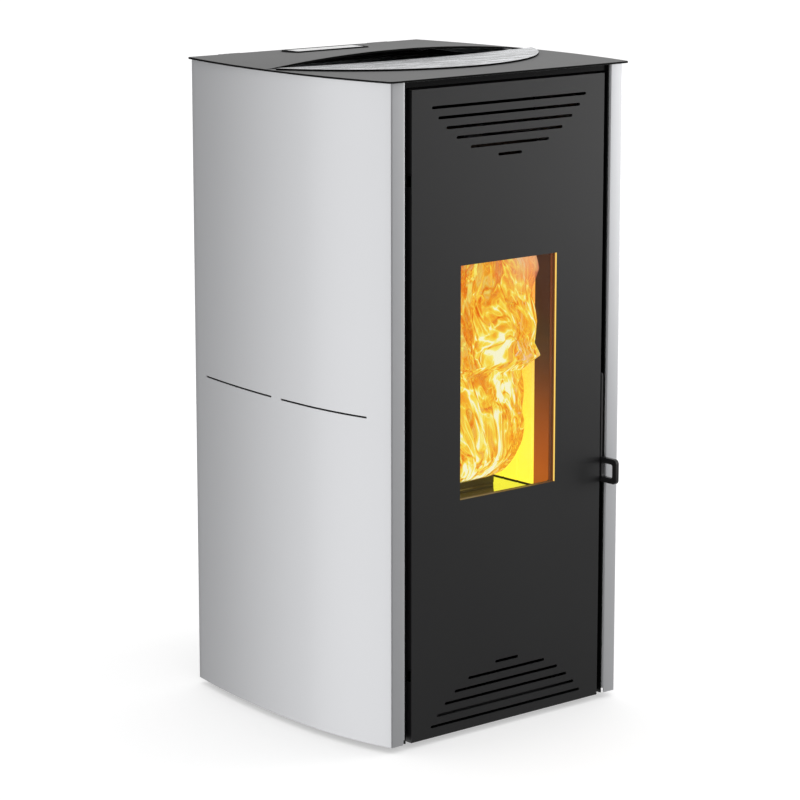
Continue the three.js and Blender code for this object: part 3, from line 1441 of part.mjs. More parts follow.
// Cross-flow rotor: curved blades between discs, drawn round its own X axis.
function blowerRotor() {
  const from = blowerLeftX + blowerShell + 3;
  const to = blowerLeftX + blowerLength - blowerShell - 3;
  const discs = [from, to - rotorDisc].map((x) => bar('x', rotorRadius, [0, 0], [x, x + rotorDisc], 20));
  const shaft = bar('x', motorShaftRadius, [0, 0], [blowerLeftX - 6, blowerLeftX + blowerLength + 12], 12);
  const blades = Array.from({ length: rotorBlades }, (_, i) => {
    const shape = outline([
      [rotorRadius - 9.5, -1.6], [rotorRadius - 5, 0.7], [rotorRadius - 0.5, 1],
      [rotorRadius - 0.5, 0], [rotorRadius - 5, -0.3], [rotorRadius - 9.5, -2.6],
    ]);
    const geometry = new THREE.ExtrudeGeometry(shape, { depth: to - from - 1, bevelEnabled: false });
    geometry.rotateZ((2 * Math.PI * i) / rotorBlades);
    geometry.rotateY(Math.PI / 2);
    geometry.translate(from + 0.5, 0, 0);
    return solid(geometry);
  });
  return join(...discs, shaft, ...blades);
}

// ---------------------------------------------------------------- electrics

// Control board on four stand-offs, with its main components.
function controlBoard() {
  const rear = rearPanelY - sheet;
  const face = rear - boardStandOff;
  const front = face - boardThick;
  const x = [boardX - boardWidth / 2, boardX + boardWidth / 2];
  const z = [boardZ - boardHeight / 2, boardZ + boardHeight / 2];
  const corners = [x[0] + standOffInset, x[1] - standOffInset].flatMap((u) => (
    [z[0] + standOffInset, z[1] - standOffInset].map((v) => [u, v])
  ));
  const standOffs = corners.map((corner) => bar('y', standOffRadius, corner, [face, rear], 8));
  const parts = boardParts.map((part) => block(
    [boardX + part.x - part.width / 2, boardX + part.x + part.width / 2], [front - part.depth, front + 0.5],
    [boardZ + part.z - part.height / 2, boardZ + part.z + part.height / 2],
  ));
  const capacitor = bar(
    'y', capacitorRadius, [boardX + capacitorX, boardZ + capacitorZ], [front - capacitorLength, front + 0.5], 12,
  );
  return join(block(x, [front, face], z), ...standOffs, ...parts, capacitor);
}

function pressureSwitch() {
  const rear = rearPanelY - sheet;
  const canFront = rear - pressureStandOff - pressureDepth;
  const ports = [-1, 1].map((side) => bar(
    'y', pressurePortRadius, [pressureX, pressureZ + (side * pressurePortPitch) / 2],
    [canFront - pressurePortLength, canFront + 1], 8,
  ));
  return join(
    bar('y', pressureRadius, [pressureX, pressureZ], [canFront, rear - pressureStandOff], 18),
    block(
      [pressureX - 8, pressureX + 8], [rear - pressureStandOff - 1, rear],
      [pressureZ - pressureBracketHalf, pressureZ + pressureBracketHalf],
    ),
    ...ports,
  );
}

const inletFaceY = rearPanelY;
const rockerWidth = 20;
const rockerHalf = 10;

// Mains inlet module: socket with three blades below, and the switch opening above.
function powerInlet() {
  const half = inletWidth / 2;
  const flange = frontPrism(
    roundedRect([inletX - half, inletX + half], [inletZ - inletHeight / 2, inletZ + inletHeight / 2], 4),
    inletFaceY, inletFaceY + 2.5, 1,
  );
  const body = block([inletX - half + 4, inletX + half - 4], [inletFaceY - 28, inletFaceY + 1],
    [inletZ - inletHeight / 2 + 4, inletZ + inletHeight / 2 - 4]);
  const socketZ = inletZ - 11;
  const socket = frontPrism(outline([
    [inletX - 12, socketZ - 8], [inletX + 12, socketZ - 8], [inletX + 12, socketZ + 3], [inletX + 7, socketZ + 8],
    [inletX - 7, socketZ + 8], [inletX - 12, socketZ + 3],
  ]), inletFaceY - 16, inletFaceY + 4);
  const blades = [[-7, -2], [0, 2], [7, -2]].map(([dx, dz]) => (
    block([inletX + dx - 1, inletX + dx + 1], [inletFaceY - 17, inletFaceY - 2], [socketZ + dz - 2, socketZ + dz + 2])
  ));
  const rockerRoom = block(
    [inletX - rockerWidth / 2 - fit, inletX + rockerWidth / 2 + fit], [inletFaceY - 12, inletFaceY + 4],
    [switchPivotZ - rockerHalf - 0.8, switchPivotZ + rockerHalf + 0.8],
  );
  const pivotHoles = bar('x', 2 + pinGap, [inletFaceY - 3, switchPivotZ], [inletX - rockerWidth / 2 - 3, inletX + rockerWidth / 2 + 3], 10);
  return join(cut(join(flange, body), socket, rockerRoom, pivotHoles), ...blades);
}

// Switch rocker, drawn round its own pivot.
function rockerSwitch() {
  const key = outline([
    [-5, -4], [-5, 4], [0, 8.8], [4.6, rockerHalf - 0.5], [3.2, 0], [6.2, 0.5 - rockerHalf], [0, -8.8],
  ]);
  return join(
    sidePrism(key, -rockerWidth / 2, rockerWidth / 2),
    bar('x', 2, [0, 0], [-rockerWidth / 2 - 2.5, rockerWidth / 2 + 2.5], 10),
  );
}

// Safety thermostat behind the rear panel, with its threaded nose through the panel.
function safetyThermostat() {
  const rear = rearPanelY - sheet;
  return join(
    block(
      [capX - thermostatHalf, capX + thermostatHalf], [rear - thermostatDepth, rear],
      [capZ - thermostatHeight / 2, capZ + thermostatHeight / 2],
    ),
    bar('y', thermostatNose, [capX, capZ], [rear - 1, rearPanelY + thermostatNoseReach], 12),
  );
}

// Screw cap over the reset button, drawn round its own Y axis with grip flats.
function resetCap() {
  const shell = bar('y', capRadius, [0, 0], [fit, capLength], 10);
  const bore = bar('y', thermostatNose + pinGap, [0, 0], [-1, capLength - 3], 12);
  return cut(shell, bore);
}

// ---------------------------------------------------------------- assembly

const stove = new THREE.Group();
stove.name = 'pellet_stove';
const handleFrontY = leverFrontY - loopReach - 1;
stove.position.y = -(flueEndY + handleFrontY) / 2;

const casing = new THREE.Group();
casing.add(
  piece('side_panel_left', sidePanel(-1), silverPaint),
  piece('side_panel_right', sidePanel(1), silverPaint),
  piece('front_frame', frontFrame(), blackPaint),
  piece('rear_panel', rearPanel(), blackPaint),
  piece('base_tray', baseTray(), blackPaint),
  piece('top_plate', topPlate(), greyPaint),
  piece('deflector_plate', deflectorPlate(), brushedSteel),
  piece('hopper_lid', hopperLid(), greyPaint),
  piece('lid_hinge_left', lidHinge(-lidHingeX), blackPaint),
  piece('lid_hinge_right', lidHinge(lidHingeX), blackPaint),
  piece('console_housing', consoleHousing(), plastic),
  piece('console_glass', consoleCover(), screenGlass),
);
['front_left', 'front_right', 'rear_left', 'rear_right'].forEach((corner, i) => {
  const foot = piece(`levelling_foot_${corner}`, levellingFoot(), plastic);
  const [x, y] = footPlaces()[i];
  foot.position.set(x, y, 0);
  casing.add(foot);
});

const door = new THREE.Group();
door.add(
  piece('door_panel', doorPanel(), blackPaint),
  piece('door_glass', doorGlass(), clearGlass),
  piece('glass_seal', glassSeal(), ropeSeal),
  piece('door_inner_frame', doorInnerFrame(), castIron),
  piece('door_gasket', doorGasket(), ropeSeal),
  piece('door_hinge_lower', doorHinge(hingeLowZ), galvanised),
  piece('door_hinge_upper', doorHinge(hingeHighZ), galvanised),
  piece('handle_lever', handleLever(), blackPaint),
  piece('latch_hook', latchHook(), galvanised),
  piece('latch_keeper', latchKeeper(), galvanised),
);

const fire = new THREE.Group();
fire.add(
  piece('firebox_shell', fireboxShell(), fireSteel),
  piece('fire_back_plate', backLining(), firebrick),
  piece('fire_side_plate_left', sideLining(-1), firebrick),
  piece('fire_side_plate_right', sideLining(1), firebrick),
  piece('baffle_plate', bafflePlate(), firebrick),
  piece('burn_pot', burnPot(), castIron),
  piece('ash_pan', ashPan(), galvanised),
  piece('igniter', igniter(), galvanised),
  piece('heat_exchanger', heatExchanger(), fireSteel),
  piece('air_outlet_duct', airOutletDuct(), blackPaint),
);

const feed = new THREE.Group();
feed.add(
  piece('pellet_hopper', pelletHopper(), galvanised),
  piece('hopper_grille', hopperGrille(), galvanised),
  piece('hopper_seal', hopperSeal(), silicone),
  piece('auger_tube', augerTube(), galvanised),
  piece('pellet_chute', pelletChute(), galvanised),
);
const auger = new THREE.Group();
auger.position.set(0, augerLowY, augerLowZ);
auger.rotation.x = augerTilt;
auger.add(
  piece('auger_screw', augerScrew(), brushedSteel),
  piece('auger_gearmotor', augerGearmotor(), galvanised),
);
feed.add(auger);

const exhaust = new THREE.Group();
const impeller = piece('exhaust_impeller', exhaustImpeller(), galvanised);
impeller.position.set(fanX + fanWidth - fanWall - 3, fanY, fanZ);
const exhaustMotor = piece('exhaust_motor', motorCan(exhaustMotorRadius, exhaustMotorLength, motorShaftRadius + pinGap), copper);
exhaustMotor.position.set(fanX + fanWidth + fit, fanY, fanZ);
exhaust.add(
  piece('exhaust_fan_housing', exhaustFanHousing(), galvanised),
  impeller,
  exhaustMotor,
  piece('smoke_duct', smokeDuct(), fireSteel),
  piece('flue_collar', flueCollar(), galvanised),
  piece('air_inlet_pipe', airInletPipe(), galvanised),
);

const blower = new THREE.Group();
const rotor = piece('room_blower_rotor', blowerRotor(), galvanised);
rotor.position.set(0, blowerY, blowerZ);
const blowerMotor = piece('room_blower_motor', motorCan(blowerMotorRadius, blowerMotorLength, motorShaftRadius + pinGap), copper);
blowerMotor.position.set(blowerLeftX + blowerLength + fit, blowerY, blowerZ);
blower.add(piece('room_blower_housing', blowerHousing(), galvanised), rotor, blowerMotor);

const electrics = new THREE.Group();
const rocker = piece('rocker_switch', rockerSwitch(), plastic);
rocker.position.set(inletX, inletFaceY - 3, switchPivotZ);
const cap = piece('reset_cap', resetCap(), plastic);
cap.position.set(capX, rearPanelY, capZ);
electrics.add(
  piece('control_board', controlBoard(), boardGreen),
  piece('pressure_switch', pressureSwitch(), plastic),
  piece('power_inlet', powerInlet(), plastic),
  piece('safety_thermostat', safetyThermostat(), plastic),
  rocker,
  cap,
);

stove.add(casing, door, fire, feed, exhaust, blower, electrics);

export default stove;
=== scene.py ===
"""Looks of a free-standing pellet stove: paints, metals, lining, glass, flames and a pale studio.

The solids come packed as a fixed frame, in metres, +Z up, the door facing -Y. Softened copies of
some nodes give their edges a small radius. The bowed side panels, the fire, the pellets, the
screws and the guard's wires are surfaces worked out here.
"""

import json
import math

import bmesh
import bpy
import numpy as np
from bpy.props import FloatProperty, FloatVectorProperty, IntProperty, PointerProperty
from mathutils import Euler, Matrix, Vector


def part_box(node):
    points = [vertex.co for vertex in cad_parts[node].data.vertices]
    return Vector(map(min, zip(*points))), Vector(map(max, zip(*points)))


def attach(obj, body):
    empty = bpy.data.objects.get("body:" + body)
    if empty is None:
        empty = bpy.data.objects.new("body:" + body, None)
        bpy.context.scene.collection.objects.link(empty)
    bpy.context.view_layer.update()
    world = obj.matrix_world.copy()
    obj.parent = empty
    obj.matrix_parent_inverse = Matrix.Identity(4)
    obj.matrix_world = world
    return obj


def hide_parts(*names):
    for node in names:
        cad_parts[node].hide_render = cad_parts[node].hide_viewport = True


bl_info = {
    "name": "Pellet Stove",
    "version": (1, 0, 0),
    "blender": (4, 5, 0),
    "location": "View3D > Sidebar > Pellet Stove",
    "description": "Finishes, fire, fasteners and studio of a free-standing pellet stove",
    "category": "Add Mesh",
}

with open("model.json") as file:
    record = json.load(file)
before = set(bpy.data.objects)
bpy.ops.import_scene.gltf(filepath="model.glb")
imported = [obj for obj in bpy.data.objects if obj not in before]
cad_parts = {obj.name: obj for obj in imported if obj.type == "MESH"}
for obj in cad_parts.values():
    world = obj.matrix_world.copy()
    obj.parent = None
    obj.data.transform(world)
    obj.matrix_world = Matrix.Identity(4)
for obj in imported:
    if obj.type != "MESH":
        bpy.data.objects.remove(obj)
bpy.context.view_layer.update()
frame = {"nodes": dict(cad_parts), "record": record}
NODES = frame["nodes"]
BODIES = frame["record"]["behaviour"]["bodies"]
BODY_OF_NODE = {node: body for body, nodes in BODIES.items() for node in nodes}
TAU = 2 * math.pi


# ---- sizes and colours


def colour(label, note, default):
    return FloatVectorProperty(
        name=label, description=note, subtype="COLOR", size=3, min=0.0, max=1.0, default=default)


def length(label, note, default):
    return FloatProperty(
        name=label, description=note, subtype="DISTANCE", unit="LENGTH", min=0.0, default=default)


def spot(label, note, default):
    return FloatVectorProperty(
        name=label, description=note, subtype="TRANSLATION", unit="LENGTH", size=3, default=default)


class StoveFinishes(bpy.types.PropertyGroup):
    silver: colour("Silver paint", "Bowed side panels", (0.62, 0.625, 0.64))
    black: colour("Black paint", "Door, lever and rear", (0.010, 0.010, 0.0105))
    top: colour("Top paint", "Top plate and lid", (0.145, 0.145, 0.145))
    steel: colour("Brushed steel", "Deflector and auger", (0.66, 0.67, 0.69))
    zinc: colour("Zinc", "Galvanised sheet", (0.46, 0.48, 0.50))
    casting: colour("Casting", "Burn pot and inner frame", (0.060, 0.056, 0.048))
    fire_steel: colour("Firebox steel", "Paint of the firebox", (0.050, 0.040, 0.034))
    lining: colour("Fire lining", "Boards round the fire", (0.80, 0.66, 0.36))
    plastic: colour("Plastic", "Feet, inlet, switch and cap", (0.022, 0.022, 0.024))
    console: colour("Console", "Back-painted console cover", (0.86, 0.87, 0.88))
    console_border: length("Cover border", "Black line round the white cover", 0.0065)
    board: colour("Circuit board", "Mask of the control board", (0.02, 0.14, 0.06))
    rope: colour("Rope seal", "Woven seals of door and glass", (0.055, 0.053, 0.050))
    copper: colour("Motor", "Varnished motor laminations", (0.16, 0.12, 0.085))


class TrimSizes(bpy.types.PropertyGroup):
    slot_pitch: length("Intake slot pitch", "Between the air slots under the blower", 0.039)
    slot_half: length("Intake slot half width", "Half width of such a slot", 0.005)
    slot_inset: length("Intake slot inset", "From the blower's end to the slot's end", 0.020)
    wire: length("Guard wire", "Radius of the guard's wires", 0.0006)
    fold_radius: length("Fold radius", "Radius on sheet folds", 0.0009)
    edge_radius: length("Edge radius", "Radius on cut edges and small pieces", 0.0005)
    screw_radius: length("Screw head radius", "Radius of the button heads", 0.0046)
    screw_height: length("Screw head height", "Height of the button heads", 0.0022)
    screw_column: length("Screw column", "From the middle plane to the rear screws", 0.208)
    screw_margin: length("Screw margin", "From the panel's ends to the last screws", 0.05)
    screw_rows: IntProperty(name="Screw rows", description="Screws in a column", min=2, default=6)


class PanelSizes(bpy.types.PropertyGroup):
    front_flange: length("Front flange", "Width of the fold beside the door", 0.0258)
    front_drop: length("Front drop", "Fall of the bow to the front fold", 0.0242)
    rear_drop: length("Rear drop", "Fall of the bow to the rear fold", 0.0319)
    crest: length("Crest", "Depth of the crest behind the front face", 0.170)
    rear_return: length("Rear return", "Width of the folded rear edge", 0.026)
    hem: length("Hem", "Depth of the hem beside the door", 0.008)
    hem_notch: length("Hem notch", "Height of the notch at the hem's foot", 0.0075)
    sheet: length("Sheet", "Thickness of the sheet", 0.002)
    slit_level: length("Slit level", "Height of the two slits above the floor", 0.506)
    slit_height: length("Slit height", "Height of the slits", 0.0024)
    slit_start: length("Slit start", "Depth of the front slit's front end", 0.044)
    slit_length: length("Slit length", "Length of the front slit", 0.184)
    slit_bridge: length("Slit bridge", "Sheet left between the slits", 0.026)
    slit_rear: length("Slit rear", "Sheet left behind the rear slit", 0.0385)
    fold: length("Fold", "Outer radius of the folds", 0.0025)


class FireSizes(bpy.types.PropertyGroup):
    half_width: length("Half width", "Half width of the fire at mid height", 0.090)
    half_depth: length("Half depth", "Half depth of the fire at mid height", 0.093)
    forward: length("Forward", "How far the fire leans to the door", 0.040)
    top: length("Top", "Height of the flame tips above the floor", 0.736)
    sunk: length("Sunk", "How far the flames start below the pot's rim", 0.006)
    glass_gap: length("Glass gap", "What the flames keep from the door's glass", 0.004)
    light: FloatProperty(
        name="Light", description="Power of the fire's lamps", unit="POWER", min=0.0, default=5.0)
    pellets: IntProperty(name="Pellets", description="How many pellets glow", min=1, default=150)
    pellet_radius: length("Pellet radius", "Radius of a wood pellet", 0.003)
    pellet_least: length("Shortest pellet", "Its half length", 0.006)
    pellet_most: length("Longest pellet", "Its half length", 0.010)
    mound_width: length("Mound width", "Its half width", 0.040)
    mound_depth: length("Mound depth", "Its half depth", 0.031)
    mound_foot: length("Mound foot", "Its edge above the pot's foot", 0.030)
    mound_rise: length("Mound rise", "Its middle above its edge", 0.012)


class StudioSettings(bpy.types.PropertyGroup):
    camera_place: spot("Camera place", "Where the camera stands", (-3.15599, -3.67847, 1.46464))
    camera_turn: FloatVectorProperty(
        name="Camera turn", description="Pitch, roll and heading", subtype="EULER",
        unit="ROTATION", size=3, default=(math.radians(78.3755), 0.0, math.radians(-40.6469)),
    )
    lens: FloatProperty(
        name="Lens", description="Focal length on a 36 mm sensor", unit="CAMERA", default=142.76)
    floor: colour("Floor", "Pale floor", (0.60, 0.60, 0.60))
    key: FloatProperty(
        name="Key light", description="Soft box in front, on the right", unit="POWER", default=17.0)
    key_place: spot("Key place", "Where the soft box stands", (2.25, -1.25, 0.95))
    key_aim: spot("Key aim", "What the soft box faces", (0.0, -0.25, 0.55))
    sky: FloatProperty(
        name="Sky", description="Brightness of the surround", min=0.0, default=1.08)


# Where the fire's light falls. A band is two heights above the floor, between which it changes.
WINDOW_MIDDLE, WINDOW_HALF_WIDTH, WINDOW_HALF_HEIGHT = (0.0, -0.246, 0.545), 0.102, 0.187
WINDOW_EDGE_BAND = (-0.2492, -0.2484)  # depths
FIRE_MIDDLE = (0.0, -0.10, 0.50)
WALL_MIDDLE, WALL_HALF_HEIGHT, WALL_BAND = 0.543, 0.198, (0.36, 0.59)
POT_BAND = (0.352, 0.354)
LINING_BAND, LINING_FOOT_BAND = (0.40, 0.62), (0.3506, 0.3513)
GLASS_HEAD_BAND, GLASS_FOOT_BAND = (0.70, 0.735), (0.352, 0.38)
FLAME_LOW_BAND, FLAME_DEEP_BAND, FLAME_HAZE_BAND = (0.40, 0.72), (0.56, 0.70), (0.64, 0.73)
SHADOW_HEADING, SHADOW_EDGE, SHADOW_BLUR = (0.76, -0.65), 0.1450, 0.0010
LIT_HEARTH, DARK = (0.95, 0.90, 0.05), (0.0, 0.0, 0.0)
LAMP_COLOUR, LAMP_RADIUS = (1.0, 0.62, 0.16), 0.03
# Each lamp's height over the pot and its share of the power.
LAMPS = (("fire_lamp_low", 0.07, 0.6), ("fire_lamp_high", 0.23, 0.4))

# The flames: (height share, width share) pairs, then (weight, pitch, detail, width) of the threads.
SWELL = ((0.0, 0.62), (0.03, 0.76), (0.07, 0.78), (0.17, 0.85), (0.25, 0.88), (0.33, 0.85),
         (0.41, 0.83), (0.47, 0.82), (0.53, 1.06), (0.58, 1.00), (0.66, 1.09), (0.78, 1.01),
         (0.89, 1.05), (0.98, 0.96), (1.0, 0.90))
THREADS = ((0.38, 1.0, 1.5, 0.09), (0.36, 2.3, 1.0, 0.11), (0.20, 4.6, 1.0, 0.12),
           (-0.50, 1.4, 1.0, 0.06))
SWAYS = ((7.0, 0.10), (21.0, 0.034), (52.0, 0.012))  # (pitch, reach) of the bends
SQUARENESS = 0.3
LEAN_END = 0.16  # the height share above which the fire leans no further

# The pellets' tilt in radians and their uneven height, and how the guard's wires lie in a slot.
PELLET_TILT, PELLET_JITTER = 0.35, (-0.006, 0.004)
GUARD_LEVEL, LONG_WIRES, CROSS_WIRES = 0.0015, (-0.6, -0.2, 0.2, 0.6), 11

# What glossy surfaces mirror: strength, direction, degrees of full strength and where it ends.
MIRRORED = (
    (1.25, (-0.90, 0.42, -0.28), 14.0, 48.0),
    (1.00, (0.95, 0.18, -0.05), 10.0, 50.0),
    (0.50, (0.45, 0.75, 0.55), 10.0, 50.0),
    (0.28, (0.65, -0.75, 0.18), 8.0, 32.0),
    (0.45, (0.0, 0.0, 1.0), 15.0, 62.0),
)
MIRRORED_REST = 0.03
KEY_SIZE, FLOOR_REACH, FLOOR_GLOW = (1.2, 1.7), 30.0, 0.45


# ---- shader building


class Value:
    """A shader socket that takes Python's arithmetic signs. Each sign adds one Math node."""

    def __init__(self, tree, socket):
        self.tree, self.socket = tree, socket

    def math(self, operation, *others, clamp=False, first=None):
        node = self.tree.nodes.new("ShaderNodeMath")
        node.operation, node.use_clamp = operation, clamp
        for place, item in enumerate([self if first is None else first, *others]):
            if isinstance(item, Value):
                self.tree.links.new(item.socket, node.inputs[place])
            else:
                node.inputs[place].default_value = item
        return Value(self.tree, node.outputs[0])

    def __add__(self, other):
        return self.math("ADD", other)

    __radd__ = __add__

    def __mul__(self, other):
        return self.math("MULTIPLY", other)

    __rmul__ = __mul__

    def __sub__(self, other):
        return self.math("SUBTRACT", other)

    def __rsub__(self, other):
        return self.math("SUBTRACT", self, first=other)

    def __truediv__(self, other):
        return self.math("DIVIDE", other)

    def clamp(self):
        return self.math("ADD", 0.0, clamp=True)

    def near(self, middle, reach):
        """1 within reach of a value, 0 beyond it."""
        return self.math("COMPARE", middle, reach)

    def within(self, reach):
        """1 while the value's size is less than reach."""
        return self.math("ABSOLUTE").math("LESS_THAN", reach)

    def ramp(self, low, high):
        """0 below low and 1 above high, with a soft step between."""
        share = ((self - low) / (high - low)).clamp()
        return share * share * (3.0 - 2.0 * share)


def as_input(tone):
    """What a colour socket takes: another socket's value, or a colour with its alpha."""
    return tone if isinstance(tone, Value) else (*tone, 1.0)


class Shading:
    """The nodes of one material or world, each added by the one method node()."""

    def __init__(self, owner):
        owner.use_nodes = True
        self.tree = owner.node_tree
        self.tree.nodes.clear()

    def node(self, kind, inputs=(), output=0, stops=None, **settings):
        """Adds a node: its settings, a ramp's colour stops, then its sockets' values or links."""
        node = self.tree.nodes.new(kind)
        for key, value in settings.items():
            setattr(node, key, value)
        if stops:
            ramp = node.color_ramp
            while len(ramp.elements) < len(stops):
                ramp.elements.new(0.5)
            for element, (place, tone) in zip(ramp.elements, stops):
                element.position, element.color = place, (*tone, 1.0)
        for key, value in dict(inputs).items():
            if isinstance(value, Value):
                self.tree.links.new(value.socket, node.inputs[key])
            else:
                node.inputs[key].default_value = value
        return Value(self.tree, node.outputs[output]) if node.outputs else None

    def place(self, scale=(1.0, 1.0, 1.0), offset=(0.0, 0.0, 0.0)):
        """The piece's own coordinates in metres, stretched and moved."""
        here = self.node("ShaderNodeTexCoord", output="Object")
        return self.node("ShaderNodeMapping", {"Vector": here, "Scale": scale, "Location": offset})

    def dot(self, one, two):
        """The product of two directions."""
        inputs = {0: one, 1: two}
        return self.node("ShaderNodeVectorMath", inputs, "Value", operation="DOT_PRODUCT")

    def along(self, axis):
        """The piece's own coordinate along X, Y or Z (the height above the floor), in metres."""
        return self.node("ShaderNodeSeparateXYZ", {"Vector": self.place()}, output=axis)

    def facing(self, axis):
        """The share of the surface's own normal along X, Y or Z."""
        normal = self.node("ShaderNodeTexCoord", output="Normal")
        return self.node("ShaderNodeSeparateXYZ", {"Vector": normal}, output=axis)

    def towards(self, centre):
        """1 where the surface faces a point, 0 where it faces away."""
        normal = self.node("ShaderNodeTexCoord", output="Normal")
        way = self.node("ShaderNodeVectorMath", {0: centre, 1: self.place()}, operation="SUBTRACT")
        return self.dot(way, normal).ramp(0.0, 0.002)

    def window_glow(self):
        """Fire light on the faces that look into the door's window.

        The upright edge is bright at its front and dark red behind, the upper edge is orange and
        the sill dim.
        """
        inside = self.towards(WINDOW_MIDDLE) * self.along("X").within(WINDOW_HALF_WIDTH)
        inside = inside * self.along("Z").near(WINDOW_MIDDLE[2], WINDOW_HALF_HEIGHT)
        behind = self.along("Y").ramp(*WINDOW_EDGE_BAND)
        side = self.blend(behind, (1.0, 0.66, 0.14), (0.14, 0.020, 0.004))
        glow = self.blend(self.facing("X").ramp(-0.95, -0.5), side, (0.07, 0.035, 0.012))
        glow = self.blend(self.facing("Z").ramp(-0.95, -0.5), (0.95, 0.55, 0.08), glow)
        return self.blend(inside, DARK, glow)

    def beside_pot(self):
        """0 in the burn pot's shadow on the hearth, 1 beyond the slanting line where it ends."""
        across = SHADOW_HEADING[0] * self.along("X") + SHADOW_HEADING[1] * self.along("Y")
        return across.ramp(SHADOW_EDGE, SHADOW_EDGE + SHADOW_BLUR)

    def noise(self, scale, detail=2.0, rough=0.5, warp=0.0, where=None):
        return self.node("ShaderNodeTexNoise", {
            "Vector": where or self.place(), "Scale": scale, "Detail": detail,
            "Roughness": rough, "Distortion": warp,
        })

    def cells(self, scale, output="Distance"):
        """A pattern of cells: the distance to the nearest centre, or a colour for each cell."""
        return self.node("ShaderNodeTexVoronoi", {"Vector": self.place(), "Scale": scale}, output)

    def bands(self, scale, direction, where=None, warp=0.0):
        """Even stripes across a direction."""
        inputs = {"Vector": where or self.place(), "Scale": scale, "Distortion": warp}
        return self.node("ShaderNodeTexWave", inputs, output="Fac", bands_direction=direction)

    def blend(self, share, low, high):
        """A mix of two colours."""
        inputs = {0: share, 6: as_input(low), 7: as_input(high)}
        return self.node("ShaderNodeMix", inputs, output=2, data_type="RGBA")

    def bump(self, height, strength, distance):
        inputs = {"Height": height, "Strength": strength, "Distance": distance}
        return self.node("ShaderNodeBump", inputs)

    def surface(self, base, roughness, metallic=0.0, normal=None, **more):
        """Ends a material in a Principled surface."""
        inputs = {"Base Color": as_input(base), "Roughness": roughness, "Metallic": metallic}
        if normal is not None:
            inputs["Normal"] = normal
        inputs.update({key.replace("_", " "): value for key, value in more.items()})
        shader = self.node("ShaderNodeBsdfPrincipled", inputs)
        self.node("ShaderNodeOutputMaterial", {"Surface": shader})


def as_material(name):
    """Turns a function that fills a Shading into one that makes its material once."""
    def decorate(fill):
        def make(*values, name=name, **more):
            made = bpy.data.materials.get(name)
            if made is None:
                made = bpy.data.materials.new(name)
                fill(Shading(made), *values, **more)
            return made
        return make
    return decorate


def shade(base, factor):
    return tuple(min(1.0, c * factor) for c in base)


# ---- finishes


@as_material("silver_metallic_powder_coat")
def silver_paint(s, f):
    """Metallic powder coat: fine flakes in a satin film."""
    flake = s.noise(2600.0, detail=1.0)
    cloud = s.noise(9.0)
    tone = 0.94 + 0.08 * flake + 0.03 * cloud
    paint = s.blend(tone.clamp(), shade(f.silver, 0.5), f.silver)
    s.surface(paint, 0.36 + 0.08 * flake, 0.72, s.bump(flake, 0.06, 0.00015),
              Specular_IOR_Level=0.4)


@as_material("satin_black_powder_coat")
def black_paint(s, f, window=False):
    """Satin powder coat with its fine skin. With window, its cut edge takes the fire's light."""
    skin = s.noise(1500.0)
    cloud = s.noise(6.0, detail=3.0)
    paint = s.blend(cloud, shade(f.black, 0.88), shade(f.black, 1.12))
    lit = {"Emission_Color": s.window_glow(), "Emission_Strength": 1.0} if window else {}
    s.surface(paint, 0.40 + 0.06 * skin, 0.0, s.bump(skin, 0.10, 0.0001),
              Specular_IOR_Level=0.62, **lit)


@as_material("satin_grey_top_coat")
def top_paint(s, f):
    """The satin coat on the top sheets."""
    skin = s.noise(1500.0)
    grain = s.noise(420.0, detail=1.0)
    coat = s.blend(grain, shade(f.top, 0.90), shade(f.top, 1.10))
    s.surface(coat, 0.55 + 0.05 * skin, 0.0, s.bump(skin, 0.10, 0.0001),
              Specular_IOR_Level=0.35)


@as_material("dull_black_edge")
def cut_edge(s):
    """Dull black on the upright edge faces of the top sheets, the deflector and the cover."""
    saw = s.noise(1.0, detail=3.0, where=s.place((120.0, 120.0, 1800.0)))
    edge = s.blend(saw, (0.002, 0.002, 0.002), (0.008, 0.008, 0.008))
    s.surface(edge, 0.75 + 0.1 * saw, 0.0, s.bump(saw, 0.15, 0.0001), Specular_IOR_Level=0.08)


@as_material("black_coat_painted_recess_shade")
def recess_shade_black(s):
    """Black coat, made deeper than the other black paint so that it also paints the shade: in the
    recess round the door, inside the air outlet duct and on the room blower's housing.
    """
    skin = s.noise(1500.0)
    coat = s.blend(skin, (0.0022, 0.0022, 0.0023), (0.004, 0.004, 0.0042))
    s.surface(coat, 0.22 + 0.05 * skin, 0.0, s.bump(skin, 0.08, 0.0001), Specular_IOR_Level=0.15)


@as_material("long_brushed_steel")
def brushed_steel(s, f, scratch=(6.0, 900.0, 900.0), streak=(16.0, 80.0, 80.0), roughness=0.20):
    """Steel with long fine scratches along one direction and broader pale streaks among them."""
    grain = s.noise(1.0, detail=4.0, where=s.place(scratch))
    band = s.noise(1.0, detail=3.0, rough=0.7, warp=0.3, where=s.place(streak)).ramp(0.42, 0.58)
    share = (0.05 + 0.9 * band + 0.6 * (grain - 0.5)).clamp()
    bright = s.blend(share, shade(f.steel, 0.58), shade(f.steel, 1.22))
    s.surface(bright, roughness + 0.14 * grain, 0.9, s.bump(band, 0.15, 0.0002))


@as_material("galvanised_sheet")
def zinc(s, f):
    """Galvanised sheet with its crystal pattern."""
    tone = s.node("ShaderNodeSeparateColor", {"Color": s.cells(120.0, "Color")}, output="Red")
    fine = s.noise(700.0)
    metal = s.blend((tone * 0.7 + fine * 0.3).clamp(), shade(f.zinc, 0.75), shade(f.zinc, 1.15))
    s.surface(metal, 0.34 + 0.18 * tone, 0.85, s.bump(fine, 0.08, 0.0001))


def sandy(s, f):
    """The grain of sand-cast iron, its colour and its bump."""
    sand = s.noise(420.0, detail=5.0, rough=0.7)
    iron = s.blend(sand, shade(f.casting, 0.7), shade(f.casting, 1.25))
    return sand, iron, s.bump(sand, 0.35, 0.0004)


